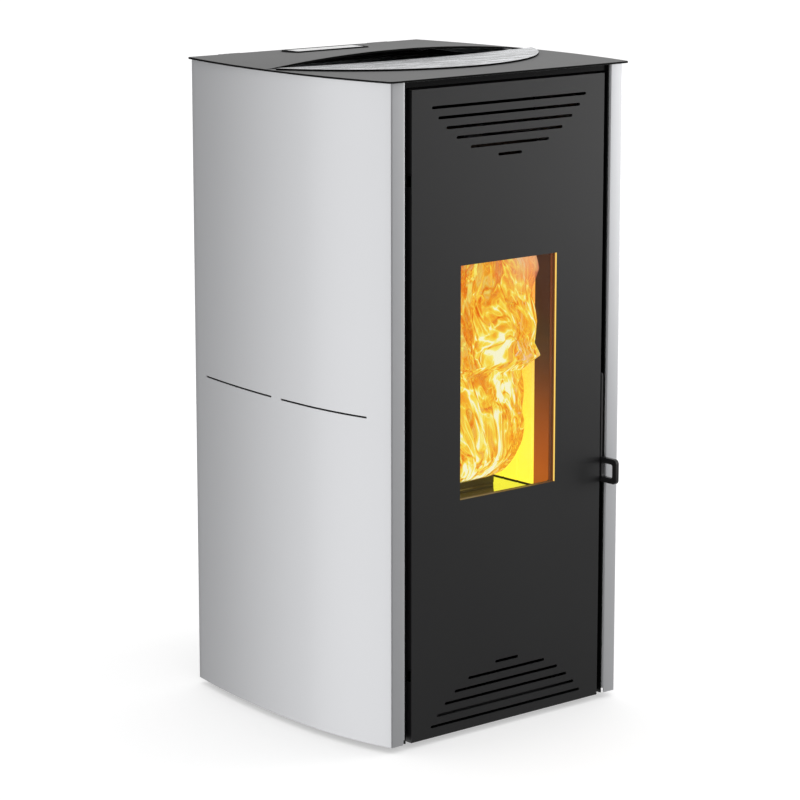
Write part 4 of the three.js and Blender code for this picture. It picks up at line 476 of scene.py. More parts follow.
@as_material("cast_iron_ashy")
def casting(s, f):
    """Sand-cast iron, a little ashy where it faces up. It has a dim painted glow of fire light all
    over, and its foot beyond the pot's painted shadow takes the hearth's painted light.
    """
    sand, iron, grain = sandy(s, f)
    soot = s.noise(24.0, detail=4.0)
    ash = s.facing("Z").ramp(0.3, 0.9) * soot.ramp(0.45, 0.7)
    # Painted fire light: a dim glow over the pot, and the hearth's lit colour on the foot beside
    # it.
    glow = s.blend(soot, (0.018, 0.013, 0.0024), (0.031, 0.022, 0.0036))
    glow = s.blend(s.beside_pot() * (1.0 - s.along("Z").ramp(*POT_BAND)), glow, LIT_HEARTH)
    s.surface(s.blend(0.5 * ash, iron, (0.30, 0.28, 0.25)), 0.70 + 0.2 * soot, 0.25, grain,
              Emission_Color=glow, Emission_Strength=1.0)


@as_material("heat_paint_browned")
def fire_steel(s, f):
    """Heat-resistant paint, browned near the fire and lit on the faces that look into it."""
    fine = s.noise(650.0, detail=3.0)
    heat = s.noise(11.0, detail=4.0, warp=0.6)
    paint = s.blend(heat.ramp(0.42, 0.68), f.fire_steel, (0.085, 0.050, 0.032))
    walls = s.blend(s.along("Z").ramp(*WALL_BAND), (0.46, 0.090, 0.010), (0.022, 0.006, 0.010))
    hearth = s.blend(s.beside_pot(), (0.030, 0.024, 0.005), LIT_HEARTH)
    glow = s.blend(s.facing("Z").ramp(0.5, 0.9), walls, hearth)
    fire_side = s.towards(FIRE_MIDDLE) * s.along("Z").near(WALL_MIDDLE, WALL_HALF_HEIGHT)
    s.surface(paint, 0.58 + 0.2 * fine, 0.35, s.bump(fine, 0.15, 0.0002),
              Emission_Color=s.blend(fire_side, DARK, glow), Emission_Strength=1.0)


@as_material("fire_lining_board")
def lining(s, f):
    """Pale pressed board, grainy and sooty in its grain, with painted fire light that is yellow low
    down and orange higher up. A thin band along its foot, at the joint, is near black and takes no
    painted light.
    """
    flake = s.cells(520.0)
    soot = s.noise(14.0, detail=5.0)
    board = s.blend(flake.ramp(0.1, 0.7), f.lining, shade(f.lining, 0.80))
    board_tone = s.blend(0.35 * soot.ramp(0.55, 0.8), board, (0.20, 0.13, 0.07))
    foot = s.along("Z").ramp(*LINING_FOOT_BAND)
    board_tone = s.blend(foot, (0.010, 0.008, 0.004), board_tone)
    # Painted fire light on the board; none on the band along its foot.
    glow = s.blend(s.along("Z").ramp(*LINING_BAND), (0.95, 0.86, 0.02), (0.80, 0.30, 0.02))
    s.surface(board_tone, 0.92, 0.0, s.bump(flake, 0.4, 0.0005),
              Emission_Color=s.blend(foot, DARK, glow), Emission_Strength=0.85)


@as_material("cast_inner_frame")
def frame_casting(s, f):
    """The door's cast inner frame: sandy iron that the fire lights on the window's side."""
    sand, iron, grain = sandy(s, f)
    s.surface(iron, 0.72 + 0.1 * sand, 0.25, grain,
              Emission_Color=s.window_glow(), Emission_Strength=1.0)


@as_material("woven_rope_seal")
def rope(s, f):
    """Woven glass-fibre rope: crossed strands, with the fire's painted light where it faces into
    the window.
    """
    one = s.bands(190.0, "DIAGONAL", warp=1.0)
    weave = one * s.bands(190.0, "DIAGONAL", where=s.place((-1.0, 1.0, 1.0)), warp=1.0)
    strands = s.blend(weave, shade(f.rope, 0.6), shade(f.rope, 1.6))
    s.surface(strands, 0.95, 0.0, s.bump(weave, 0.8, 0.0006),
              Emission_Color=s.window_glow(), Emission_Strength=1.0)


@as_material("textured_black_plastic")
def plastic(s, f, base=None, roughness=0.48):
    """Moulded plastic or rubber with a spark-eroded skin."""
    base = base or tuple(f.plastic)
    spark = s.cells(1500.0)
    skin = s.blend(s.noise(40.0), shade(base, 0.85), shade(base, 1.15))
    s.surface(skin, roughness + 0.1 * spark, 0.0, s.bump(spark, 0.2, 0.0002))


@as_material("glossy_white_cover")
def console_cover(s, f):
    """Back-painted glossy cover inside a dull black border."""
    fade = s.noise(30.0, detail=1.0)
    low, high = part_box("console_glass")
    middle, half = (low + high) / 2, (high - low) / 2
    inner = (s.along("X") - middle.x).within(half.x - f.console_border)
    inner = inner * (s.along("Y") - middle.y).within(half.y - f.console_border)
    white = s.blend(fade, shade(f.console, 0.92), f.console)
    s.surface(s.blend(inner, (0.003, 0.003, 0.003), white), 0.92 - inner * (0.85 - 0.03 * fade),
              Coat_Weight=0.6 * inner, Coat_Roughness=0.04)


@as_material("solder_mask")
def circuit_board(s, f):
    """Solder mask with tracks and paler pads."""
    tracks = s.node("ShaderNodeTexBrick", {
        "Vector": s.place(), "Scale": 60.0, "Mortar Size": 0.03, "Color1": as_input(f.board),
        "Color2": as_input(shade(f.board, 0.8)), "Mortar": as_input(shade(f.board, 2.4)),
    })
    fine = s.noise(300.0)
    s.surface(tracks, 0.35 + 0.2 * fine, 0.0, s.bump(fine, 0.1, 0.0002))


@as_material("varnished_laminations")
def motor(s, f):
    """Varnished sheet packet: thin layers seen on edge."""
    layers = s.bands(240.0, "X")
    stain = s.noise(60.0, detail=3.0)
    packet = s.blend(layers * stain, shade(f.copper, 0.6), shade(f.copper, 1.5))
    s.surface(packet, 0.40 + 0.2 * stain, 0.6, s.bump(layers, 0.3, 0.0002))


@as_material("clear_fire_glass")
def fire_glass(s):
    """Clear fire glass: mostly open, with a faint smoky film at its head and foot."""
    film = s.noise(7.0, detail=4.0, warp=0.5)
    ends = s.along("Z").ramp(*GLASS_HEAD_BAND) + (1.0 - s.along("Z").ramp(*GLASS_FOOT_BAND))
    s.surface((0.020, 0.016, 0.014), 0.05 + 0.05 * film,
              Alpha=0.05 + 0.04 * film + 0.05 * ends, IOR=1.45)


# ---- mesh building

WELD = 2e-6  # metres between corners that are one
FLAT = math.radians(0.3)  # the angle between faces that are one
UPRIGHT = 0.5  # the normal's share along Z, under which a face is an edge of its sheet


def round_edges(made, radius, angle, segments=2):
    """Gives the edges that turn by more than angle, in degrees, a small radius."""
    bevel = made.modifiers.new("Edge radius", "BEVEL")
    bevel.width, bevel.segments, bevel.harden_normals = radius, segments, True
    bevel.limit_method, bevel.angle_limit = "ANGLE", math.radians(angle)


def add(name, data):
    """A new object at the scene's origin."""
    made = bpy.data.objects.new(name, data)
    bpy.context.scene.collection.objects.link(made)
    return made


def piece(name, vertices, faces, finish, body, smooth=True, uv=None):
    """A finished piece from arrays: it rides on its body and keeps its place in its mesh."""
    mesh = bpy.data.meshes.new(name)
    faces = [tuple(map(int, face)) for face in faces]
    mesh.from_pydata(np.asarray(vertices, float).tolist(), [], faces)
    if uv is not None:
        layer = mesh.uv_layers.new(name="pattern")
        loops = np.zeros(len(mesh.loops), np.int32)
        mesh.loops.foreach_get("vertex_index", loops)
        layer.data.foreach_set("uv", np.asarray(uv, np.float32)[loops].ravel())
    mesh.shade_smooth() if smooth else mesh.shade_flat()
    mesh.materials.append(finish)
    made = add(name, mesh)
    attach(made, body)
    return made


def grid_faces(rows, columns, wrap=False):
    """Quads of a grid of points, row by row; wrap joins its last column to its first."""
    r, c = np.meshgrid(np.arange(rows - 1), np.arange(columns - 1 + wrap), indexing="ij")
    below, above, right = r * columns, (r + 1) * columns, (c + 1) % columns
    return np.stack([below + c, below + right, above + right, above + c], -1).reshape(-1, 4)


def softened(node, finish, radius, segments=2, angle=30.0, edge=None):
    """A merged copy of a CAD node with a small radius on its edges, which stands for the node.

    Folds under angle, in degrees, stay smooth. With edge, upright faces take that second finish.
    """
    mesh = NODES[node].data.copy()
    build = bmesh.new()
    build.from_mesh(mesh)
    bmesh.ops.remove_doubles(build, verts=build.verts, dist=WELD)
    bmesh.ops.dissolve_limit(build, angle_limit=FLAT, verts=build.verts, edges=build.edges)
    for face in build.faces:
        face.material_index = int(edge is not None and abs(face.normal.z) < UPRIGHT)
    mesh.materials.clear()  # before to_mesh, because it sets every face back to the first finish
    for item in (finish, edge):
        if item:
            mesh.materials.append(item)
    build.to_mesh(mesh)
    build.free()
    made = add(f"{node}_finished", mesh)
    mesh.shade_smooth()
    mesh.set_sharp_from_angle(angle=math.radians(angle))
    round_edges(made, radius, angle, segments)
    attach(made, BODY_OF_NODE[node])
    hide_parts(node)


def dress(nodes, finish):
    """Gives CAD nodes their finish."""
    for node in nodes:
        slots = NODES[node].data.materials
        slots.clear()
        slots.append(finish)


# ---- pieces


def filleted(path, corners, radius, steps=6):
    """A flat path with its marked corners turned into arcs.

    Each corner gives way to c + radius * (cos a, sin a) from one tangent point to the other.
    """
    path = np.asarray(path, float)
    parts = []
    for i, point in enumerate(path):
        if i not in corners:
            parts.append(point[None])
            continue
        back, on = path[i - 1] - point, path[i + 1] - point
        back, on = back / np.linalg.norm(back), on / np.linalg.norm(on)
        half = math.acos(float(np.clip(back @ on, -1.0, 1.0))) / 2
        middle = back + on
        centre = point + middle / np.linalg.norm(middle) * radius / math.sin(half)
        start, end = (point + arm * radius / math.tan(half) - centre for arm in (back, on))
        share = np.linspace(0.0, 1.0, steps)[:, None]
        turn = math.pi - 2 * half
        arc = np.sin((1.0 - share) * turn) * start + np.sin(share * turn) * end
        parts.append(centre + arc / math.sin(turn))
    return np.concatenate(parts)


NOTCH_PLAY = 0.001  # how much the hem's notch is wider than the sheet
BOW_STEP = 0.002  # the least distance between the bow's points


def bowed_panel(node, side, p, finish, edge_radius, stations=41):
    """One folded side panel: a plan line of hem, flange, two arcs and rear return, carried up.

    Each arc of run L and drop d has the radius (L^2 + d^2) / 2d. Faces inside the slits and the
    hem's notch are left out.
    """
    low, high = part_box(node)
    crest, top_y = max(abs(low.x), abs(high.x)), low.y + p.crest
    front, rear = crest - p.front_drop, crest - p.rear_drop
    flange = front - p.front_flange
    slit_start, slit_end = low.y + p.slit_start, low.y + p.slit_start + p.slit_length
    slits = [(slit_start, slit_end), (slit_end + p.slit_bridge, high.y - p.slit_rear)]
    y = np.union1d(np.linspace(low.y, high.y, stations), np.array(slits).ravel())[1:-1]
    y = np.delete(y, np.flatnonzero(np.diff(y) < BOW_STEP))
    radius = np.where(y < top_y, (p.crest ** 2 + p.front_drop ** 2) / (2 * p.front_drop),
                      ((high.y - top_y) ** 2 + p.rear_drop ** 2) / (2 * p.rear_drop))
    bow = np.stack([crest - radius + np.sqrt(radius ** 2 - (y - top_y) ** 2), y], -1)
    notch_end = flange + p.sheet + NOTCH_PLAY
    start = [(flange, low.y + p.hem), (flange, low.y), (notch_end, low.y), (front, low.y)]
    path = np.concatenate([start, bow, [(rear, high.y), (rear - p.rear_return, high.y)]])
    path = filleted(path, {1, 3, len(path) - 2}, p.fold)
    level = np.array([low.z, low.z + p.hem_notch, p.slit_level - p.slit_height / 2,
                      p.slit_level + p.slit_height / 2, high.z])
    x, depth = side * path[None, :, 0], path[None, :, 1]
    points = np.stack(np.broadcast_arrays(x, depth, level[:, None]), -1).reshape(-1, 3)
    middle = (path[1:] + path[:-1]) / 2
    open_slit = np.any([(middle[:, 1] > a) & (middle[:, 1] < b) for a, b in slits], 0)
    open_hem = (middle[:, 0] < notch_end) & (middle[:, 1] < low.y + p.hem)
    keep = np.ones((len(level) - 1, len(middle)), bool)
    keep[2] &= ~open_slit
    keep[0] &= ~open_hem
    faces = grid_faces(len(level), len(path))[keep.ravel()]
    used, faces = np.unique(faces, return_inverse=True)
    faces = faces.reshape(-1, 4)[:, ::side]
    made = piece(f"{node}_finished", points[used], faces, finish, "body")
    sheet = made.modifiers.new("Sheet", "SOLIDIFY")
    sheet.thickness, sheet.offset, sheet.use_even_offset = p.sheet, -1.0, True
    round_edges(made, edge_radius, 40.0)
    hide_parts(node)


def rods(starts, ends, radius, sides=8):
    """Straight round wires: each end grows a ring, point + radius * (cos t * u + sin t * v)."""
    starts, ends = np.asarray(starts, float), np.asarray(ends, float)
    axis = (ends - starts) / np.linalg.norm(ends - starts, axis=1, keepdims=True)
    u = np.cross(axis, [0.0, 0.0, 1.0])
    v = np.cross(axis, u)
    t = np.linspace(0.0, TAU, sides, endpoint=False)[None, :, None]
    ring = radius * (np.cos(t) * u[:, None] + np.sin(t) * v[:, None])
    points = np.stack([starts[:, None] + ring, ends[:, None] + ring], 1).reshape(-1, 3)
    first = 2 * sides * np.arange(len(starts))[:, None, None]
    return points, (grid_faces(2, sides, wrap=True) + first).reshape(-1, 4)[:, ::-1]


def intake_guard(trim, finish):
    """Wires across the three air slots under the room blower, which keep fingers from its rotor."""
    low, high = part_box("room_blower_housing")
    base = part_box("base_tray")[0].z + GUARD_LEVEL
    starts, ends = [], []
    for middle in (low.y + high.y) / 2 + trim.slot_pitch * np.array([-1.0, 0.0, 1.0]):
        first, last = low.x + trim.slot_inset, high.x - trim.slot_inset
        for y in middle + trim.slot_half * np.array(LONG_WIRES):
            starts.append((first, y, base))
            ends.append((last, y, base))
        for x in np.linspace(first, last, CROSS_WIRES + 2)[1:-1]:
            starts.append((x, middle - trim.slot_half, base))
            ends.append((x, middle + trim.slot_half, base))
    points, faces = rods(starts, ends, trim.wire)
    return piece("intake_guard", points, faces, finish, "body")


class STOVE_OT_casing(bpy.types.Operator):
    """Bowed side panels, front frame, rear panel, base tray, intake guard and feet"""

    bl_idname = "stove.casing"
    bl_label = "Casing"

    def execute(self, context):
        f, t = context.scene.stove_finishes, context.scene.stove_trim
        for node, side in (("side_panel_left", -1), ("side_panel_right", 1)):
            bowed_panel(node, side, context.scene.stove_panel, silver_paint(f), t.edge_radius)
        # The front frame takes the deeper black, which paints the shade of the recess round the
        # door.
        softened("front_frame", recess_shade_black(), t.edge_radius, segments=1)
        softened("rear_panel", black_paint(f), t.edge_radius, segments=1, angle=8.0)
        dress(["base_tray", "lid_hinge_left", "lid_hinge_right"], black_paint(f))
        dress([n for n in NODES if n.startswith("levelling_foot")], plastic(f))
        intake_guard(t, black_paint(f))
        return {"FINISHED"}


class STOVE_OT_top(bpy.types.Operator):
    """Top plate, steel deflector, arched lid and console"""

    bl_idname = "stove.top"
    bl_label = "Top"

    def execute(self, context):
        f, t = context.scene.stove_finishes, context.scene.stove_trim
        for node in ("top_plate", "hopper_lid"):
            softened(node, top_paint(f), t.edge_radius, edge=cut_edge())
        steel = brushed_steel(f)
        softened("deflector_plate", steel, t.edge_radius, edge=cut_edge())
        softened("console_housing", plastic(f), t.edge_radius)
        softened("console_glass", console_cover(f), t.edge_radius, edge=cut_edge())
        return {"FINISHED"}


class STOVE_OT_door(bpy.types.Operator):
    """Door tray, window, seals, inner frame, hinges, handle and latch"""

    bl_idname = "stove.door"
    bl_label = "Door"

    def execute(self, context):
        f, t = context.scene.stove_finishes, context.scene.stove_trim
        door_coat = black_paint(f, window=True, name="satin_black_door_coat")
        softened("door_panel", door_coat, t.fold_radius)
        softened("handle_lever", black_paint(f), t.edge_radius)
        softened("door_inner_frame", frame_casting(f), t.edge_radius)
        dress(["door_glass"], fire_glass())
        dress(["glass_seal", "door_gasket"], rope(f))
        dress(["door_hinge_lower", "door_hinge_upper"], black_paint(f))
        dress(["latch_hook", "latch_keeper"], zinc(f))
        return {"FINISHED"}


class STOVE_OT_firebox(bpy.types.Operator):
    """Firebox, lining, baffle, burn pot, ash pan, exchanger and air duct"""

    bl_idname = "stove.firebox"
    bl_label = "Firebox"

    def execute(self, context):
        f = context.scene.stove_finishes
        dress(["firebox_shell", "heat_exchanger", "smoke_duct"], fire_steel(f))
        dress(["fire_back_plate", "fire_side_plate_left", "fire_side_plate_right", "baffle_plate"],
              lining(f))
        dress(["burn_pot"], casting(f))
        dress(["ash_pan", "igniter"], zinc(f))
        # The air outlet duct takes the deeper black, which paints the shade inside it.
        dress(["air_outlet_duct"], recess_shade_black())
        return {"FINISHED"}


class STOVE_OT_works(bpy.types.Operator):
    """Hopper, auger, fans, motors, pipes and electrics"""

    bl_idname = "stove.works"
    bl_label = "Works"

    def execute(self, context):
        f, t = context.scene.stove_finishes, context.scene.stove_trim
        softened("pellet_hopper", zinc(f), t.edge_radius, segments=1)
        dress(["hopper_grille", "auger_tube", "pellet_chute", "auger_gearmotor",
               "exhaust_fan_housing", "exhaust_impeller", "room_blower_rotor"], zinc(f))
        # The room blower's housing takes the deeper black, which paints the shade inside the base.
        dress(["room_blower_housing"], recess_shade_black())
        steel = brushed_steel(f, (700.0,) * 3, (90.0,) * 3, 0.35, name="turned_steel")
        dress(["auger_screw"], steel)
        dress(["hopper_seal"], plastic(f, (0.03, 0.03, 0.03), 0.7, name="silicone_seal"))
        dress(["exhaust_motor", "room_blower_motor"], motor(f))
        dress(["control_board"], circuit_board(f))
        dress(["pressure_switch", "safety_thermostat"], plastic(f))
        for node in ("power_inlet", "rocker_switch", "reset_cap"):
            softened(node, plastic(f), t.edge_radius)
        for node in ("flue_collar", "air_inlet_pipe"):
            softened(node, zinc(f), t.edge_radius, angle=35.0)
        return {"FINISHED"}


# ---- fire


@as_material("flame_glow")
def flame_finish(s, scale, hot, cover, tip, seed):
    """A glowing veil: thin bright threads drawn upwards over orange and yellow pockets.

    Height is squeezed and three noises bend the coordinates. Threads lie where a noise n crosses
    its middle value, (1 - |n - 1/2| / width)^2, at four scales. A negative weight makes them dark.
    """
    here = s.place((1.0, 1.0, 0.42), (0.13 * seed, 0.0, 0.07 * seed))
    for pitch, reach in SWAYS:
        inputs = {"Vector": here, "Scale": pitch, "Detail": 1.0}
        sway = s.node("ShaderNodeTexNoise", inputs, "Color")
        bend = s.node("ShaderNodeVectorMath", {0: sway, 1: (0.5, 0.5, 0.5)}, operation="SUBTRACT")
        bend = s.node("ShaderNodeVectorMath", {0: bend, "Scale": reach}, operation="SCALE")
        here = s.node("ShaderNodeVectorMath", {0: here, 1: bend}, operation="ADD")

    def threads(pitch, detail, width):
        level = s.noise(pitch, detail=detail, where=here)
        line = (1.0 - (level - 0.5).math("ABSOLUTE") / width).clamp()
        return line * line

    body = s.noise(0.62 * scale, detail=3.0, rough=0.6, where=here)
    low = 1.0 - s.along("Z").ramp(*FLAME_LOW_BAND)
    deep = s.along("X").ramp(0.02, -0.07) * s.along("Z").ramp(*FLAME_DEEP_BAND)
    heat = (hot - 0.08) + 3.1 * (body - 0.5) + 0.30 * low - 0.16 * deep
    for weight, pitch, detail, width in THREADS:
        heat = heat + weight * threads(pitch * scale, detail, width)
    shades = s.node("ShaderNodeValToRGB", {"Fac": heat.clamp()}, stops=[
        (0.04, (0.66, 0.06, 0.00)), (0.22, (0.88, 0.18, 0.01)), (0.42, (0.96, 0.40, 0.025)),
        (0.66, (1.00, 0.70, 0.06)), (0.86, (1.00, 0.90, 0.22)), (1.00, tip),
    ])
    haze = s.along("Z").ramp(*FLAME_HAZE_BAND) * s.along("X").ramp(0.0, 0.07)
    shades = s.blend(0.6 * haze, shades, (0.93, 0.62, 0.40))
    share = s.node("ShaderNodeUVMap", output="UV", uv_map="pattern")
    up = s.node("ShaderNodeSeparateXYZ", {"Vector": share}, output="Y")
    alpha = (cover * (0.40 + 0.90 * heat) * up.ramp(0.0, 0.04)).clamp()
    s.surface(DARK, 1.0, Emission_Color=shades, Emission_Strength=1.07, Alpha=alpha,
              Specular_IOR_Level=0.0)


def flame_shell(sizes, share, lobes, phase, rows=120, columns=128):
    """A closed veil that opens out from the pot and fills the fire space.

    With h the height's share and q the squareness, its section is a rounded square that swells:
    x = cx + a r w(h) sgn(cos t) |cos t|^q, y = cy(h) + b r w(h) sgn(sin t) |sin t|^q. Folds climb
    it, r = 1 + 0.03 sin(lobes t + phase + 9 h) + 0.03 sin(2 lobes t - 13 h)
    + 0.012 sin(9 t + 24 h + phase). Where it would reach the window, it is flattened.
    """
    low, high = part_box("burn_pot")
    middle = (low + high) / 2
    h = np.linspace(0.0, 1.0, rows)[:, None]
    t = np.linspace(0.0, TAU, columns, endpoint=False)[None]
    swell = np.interp(h, *np.array(SWELL).T)
    ripple = 1.0 + 0.03 * np.sin(lobes * t + phase + 9.0 * h)
    ripple = ripple + 0.03 * np.sin(2 * lobes * t - 13.0 * h)
    ripple = ripple + 0.012 * np.sin(9.0 * t + 24.0 * h + phase)
    scale = share * swell * ripple
    across, along = [np.sign(c) * np.abs(c) ** SQUARENESS for c in (np.cos(t), np.sin(t))]
    x = middle.x + scale * sizes.half_width * across
    lean = sizes.forward * np.sin(np.clip(h / LEAN_END, 0.0, 1.0) * math.pi / 2)
    y = middle.y - lean + scale * sizes.half_depth * along
    y = np.maximum(y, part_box("door_glass")[1].y + sizes.glass_gap)
    base = high.z - sizes.sunk
    z = base + (sizes.top - base) * h * (0.80 + 0.20 * share)
    points = np.stack(np.broadcast_arrays(x, y, z), -1).reshape(-1, 3)
    uv = np.stack(np.broadcast_arrays(t / TAU, h), -1).reshape(-1, 2)
    return points, grid_faces(rows, columns, wrap=True)[:, ::-1], uv


def pellet_heap(sizes):
    """Short six-sided bars tumbled in the pot: each is turned at random and set in a low mound."""
    low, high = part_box("burn_pot")
    middle = (low + high) / 2
    count = sizes.pellets
    rng = np.random.default_rng(7)
    t = np.linspace(0.0, TAU, 6, endpoint=False)
    ring = np.stack([np.zeros(6), np.cos(t), np.sin(t)], -1) * sizes.pellet_radius
    half = rng.uniform(sizes.pellet_least, sizes.pellet_most, count)
    reach = np.array([1.0, 0.0, 0.0]) * half[:, None, None]
    prism = np.concatenate([ring - reach, ring + reach], 1)
    turn = rng.uniform(0.0, TAU, count)
    tilt = rng.normal(0.0, PELLET_TILT, count)
    axis = np.stack([np.cos(turn) * np.cos(tilt), np.sin(turn) * np.cos(tilt), np.sin(tilt)], -1)
    side = np.stack([-np.sin(turn), np.cos(turn), np.zeros(count)], -1)
    normal = np.cross(axis, side)
    spin = np.stack([axis, side, normal], 1)
    radius = np.sqrt(rng.uniform(0.0, 1.0, count))
    bearing = rng.uniform(0.0, TAU, count)
    x = sizes.mound_width * radius * np.cos(bearing)
    y = sizes.mound_depth * radius * np.sin(bearing)
    z = sizes.mound_foot + sizes.mound_rise * (1.0 - radius ** 2)
    z = z + rng.uniform(*PELLET_JITTER, count)
    centre = np.stack([middle.x + x, middle.y + y, low.z + z], -1)
    points = np.einsum("nvi,nij->nvj", prism, spin) + centre[:, None]
    sides = [(i, (i + 1) % 6, 6 + (i + 1) % 6, 6 + i) for i in range(6)]
    faces = [tuple(12 * n + v for v in face) for n in range(count)
             for face in [*sides, tuple(range(5, -1, -1)), tuple(range(6, 12))]]
    return points.reshape(-1, 3), faces


@as_material("glowing_pellets")
def ember_finish(s):
    """Charred pellets with glowing cores and ashy skins."""
    core = s.noise(90.0, detail=3.0)
    fine = s.noise(500.0)
    glow = s.node("ShaderNodeValToRGB", {"Fac": core}, stops=[
        (0.36, (0.02, 0.0, 0.0)), (0.48, (0.9, 0.10, 0.01)), (0.62, (1.0, 0.42, 0.04)),
        (0.78, (1.0, 0.85, 0.35)),
    ])
    char = s.blend(fine, (0.02, 0.015, 0.012), (0.22, 0.19, 0.16))
    s.surface(char, 0.95, 0.0, s.bump(fine, 0.5, 0.0004),
              Emission_Color=glow, Emission_Strength=2.0)


class STOVE_OT_fire(bpy.types.Operator):
    """Flames over the pot and glowing pellets in it"""

    bl_idname = "stove.fire"
    bl_label = "Fire"

    def execute(self, context):
        sizes = context.scene.stove_fire
        veils = [
            ("flame_outer", 1.00, 3, 0.4, 30.0, 0.24, 0.95, (1.00, 0.97, 0.66)),
            ("flame_middle", 0.76, 4, 2.1, 36.0, 0.30, 0.97, (1.00, 0.86, 0.14)),
            ("flame_core", 0.46, 3, 4.0, 42.0, 0.36, 1.00, (1.00, 0.84, 0.12)),
        ]
        for name, share, lobes, phase, scale, hot, cover, tip in veils:
            points, faces, uv = flame_shell(sizes, share, lobes, phase)
            glow = flame_finish(scale, hot, cover, tip, lobes, name=f"{name}_glow")
            piece(name, points, faces, glow, "body", uv=uv)
        points, faces = pellet_heap(sizes)
        piece("glowing_pellets", points, faces, ember_finish(), "burn_pot", smooth=False)
        return {"FINISHED"}


# ---- fasteners


def button_head(place, axis, sizes, segments=18):
    """A domed head with a hexagonal socket, on a level axis.

    Rings run over the dome, height * (1 - (r / R)^2.4). The last ones pull in to a hexagon.
    """
    radius, height = sizes.screw_radius, sizes.screw_height
    r = np.array([1.0, 1.0, 0.86, 0.66, 0.50, 0.50, 0.0])
    level = height * (1.0 - r ** 2.4)
    level[[0, 1, 5, 6]] = height * np.array([0.0, 0.18, 0.25, 0.25])
    t = np.linspace(0.0, TAU, segments, endpoint=False)
    flat = (math.pi / 3) * np.round(t / (math.pi / 3))
    hexagon = math.cos(math.pi / 6) / np.cos(t - flat)
    shape = np.where(np.arange(len(r))[:, None] >= 4, hexagon[None], 1.0)
    axis = np.asarray(axis, float)
    u = np.cross(axis, [0.0, 0.0, 1.0])
    ring = np.cos(t)[:, None] * u + np.sin(t)[:, None] * np.cross(axis, u)
    rings = (radius * r[:, None] * shape)[..., None] * ring
    points = np.asarray(place) + rings + level[:, None, None] * axis
    return points.reshape(-1, 3), grid_faces(len(r), segments, wrap=True)


class STOVE_OT_fasteners(bpy.types.Operator):
    """Screws along both edges of the rear panel"""

    bl_idname = "stove.fasteners"
    bl_label = "Fasteners"

    def execute(self, context):
        f, t = context.scene.stove_finishes, context.scene.stove_trim
        low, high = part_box("side_panel_left")
        rows = np.linspace(low.z + t.screw_margin, high.z - t.screw_margin, t.screw_rows)
        heads = [button_head((side * t.screw_column, high.y, z), (0, 1, 0), t)
                 for side in (-1, 1) for z in rows]
        points = np.concatenate([ring for ring, _ in heads])
        faces = np.concatenate([quads + n * len(ring) for n, (ring, quads) in enumerate(heads)])
        paint = black_paint(f)
        piece("rear_panel_screws", points, faces, paint, "body", smooth=False)
        return {"FINISHED"}


# ---- studio


@as_material("pale_floor")
def pale_floor(s, settings):
    """Matt pale floor that glows a little, so that it runs into the surround."""
    tone = s.blend(s.noise(0.6), shade(settings.floor, 0.985), settings.floor)
    s.surface(tone, 0.9, Emission_Color=as_input((1.0, 1.0, 1.0)), Emission_Strength=FLOOR_GLOW)


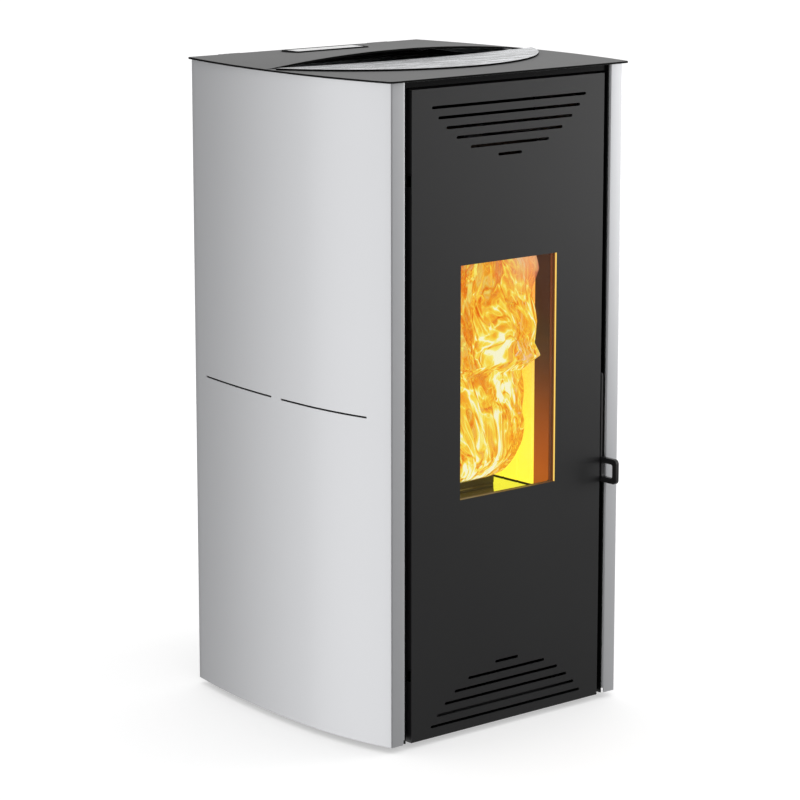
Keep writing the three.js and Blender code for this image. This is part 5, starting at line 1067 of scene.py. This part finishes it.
class STOVE_OT_stage(bpy.types.Operator):
    """Pale floor, soft lights, lamps in the fire and the camera"""

    bl_idname = "stove.stage"
    bl_label = "Stage"

    def execute(self, context):
        scene, s = context.scene, context.scene.stove_studio
        self.floor(s)
        self.surround(scene, s)
        self.key_light(s)
        self.fire_lamps(scene)
        self.camera(scene, s)
        scene.view_settings.view_transform = "Standard"
        return {"FINISHED"}

    def floor(self, settings):
        """A wide floor, which glossy surfaces don't mirror."""
        r = FLOOR_REACH
        mesh = bpy.data.meshes.new("floor")
        mesh.from_pydata([(-r, -r, 0), (r, -r, 0), (r, r, 0), (-r, r, 0)], [], [(0, 1, 2, 3)])
        mesh.materials.append(pale_floor(settings))
        floor_object = add("floor", mesh)
        floor_object.visible_glossy = False

    def key_light(self, settings):
        lamp = bpy.data.lights.new("key_light", "AREA")
        lamp.shape, lamp.energy = "RECTANGLE", settings.key
        lamp.size, lamp.size_y = KEY_SIZE
        made = add("key_light", lamp)
        made.location = settings.key_place
        aim = Vector(settings.key_aim) - Vector(settings.key_place)
        made.rotation_euler = aim.to_track_quat("-Z", "Y").to_euler()

    def surround(self, scene, settings):
        """Even white surround. Glossy surfaces mirror soft patches on dark ground instead."""
        world = bpy.data.worlds.new("studio")
        scene.world = world
        s = Shading(world)
        direction = s.node("ShaderNodeTexCoord", output="Generated")
        mirrored = MIRRORED_REST
        for strength, towards, near, far in MIRRORED:
            share = s.dot(direction, tuple(Vector(towards).normalized()))
            patch = share.ramp(math.cos(math.radians(far)), math.cos(math.radians(near)))
            mirrored = mirrored + strength * patch
        glossy = s.node("ShaderNodeLightPath", output="Is Glossy Ray")
        level = glossy * (mirrored - 1.0) + 1.0
        tint = s.node("ShaderNodeCombineColor", {"Red": level, "Green": level, "Blue": level})
        background = s.node("ShaderNodeBackground", {"Color": tint, "Strength": settings.sky})
        s.node("ShaderNodeOutputWorld", {"Surface": background})

    def fire_lamps(self, scene):
        """Two warm lamps inside the flames."""
        low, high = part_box("burn_pot")
        for name, rise, share in LAMPS:
            lamp = bpy.data.lights.new(name, "POINT")
            lamp.energy, lamp.color = scene.stove_fire.light * share, LAMP_COLOUR
            lamp.shadow_soft_size = LAMP_RADIUS
            add(name, lamp).location = ((low.x + high.x) / 2, (low.y + high.y) / 2, high.z + rise)

    def camera(self, scene, settings):
        data = bpy.data.cameras.new("camera")
        data.lens, data.sensor_width = settings.lens, 36.0
        data.clip_start, data.clip_end = 0.05, 100.0
        made = add("camera", data)
        made.location = settings.camera_place
        made.rotation_euler = Euler(settings.camera_turn, "XYZ")
        scene.camera = made


# ---- add-on


class STOVE_PT_panel(bpy.types.Panel):
    """Lists the sizes, colours and steps of the stove"""

    bl_idname = "STOVE_PT_panel"
    bl_label = "Pellet Stove"
    bl_space_type = "VIEW_3D"
    bl_region_type = "UI"
    bl_category = "Pellet Stove"

    def draw(self, context):
        for name in GROUPS:
            group = getattr(context.scene, name)
            box = self.layout.box()
            for key in group.bl_rna.properties.keys():
                if key not in {"rna_type", "name"}:
                    box.prop(group, key)
        for operator in OPERATORS:
            self.layout.operator(operator.bl_idname)


GROUPS = {"stove_finishes": StoveFinishes, "stove_trim": TrimSizes, "stove_panel": PanelSizes,
          "stove_fire": FireSizes, "stove_studio": StudioSettings}
OPERATORS = (STOVE_OT_casing, STOVE_OT_top, STOVE_OT_door, STOVE_OT_firebox, STOVE_OT_works,
             STOVE_OT_fire, STOVE_OT_fasteners, STOVE_OT_stage)
CLASSES = (*GROUPS.values(), *OPERATORS, STOVE_PT_panel)


def register():
    for kind in CLASSES:
        bpy.utils.register_class(kind)
    for name, group in GROUPS.items():
        setattr(bpy.types.Scene, name, PointerProperty(type=group))


def unregister():
    for name in GROUPS:
        delattr(bpy.types.Scene, name)
    for kind in reversed(CLASSES):
        bpy.utils.unregister_class(kind)


def main():
    register()
    for operator in OPERATORS:
        family, name = operator.bl_idname.split(".")
        getattr(getattr(bpy.ops, family), name)()


if __name__ == "__main__":
    main()
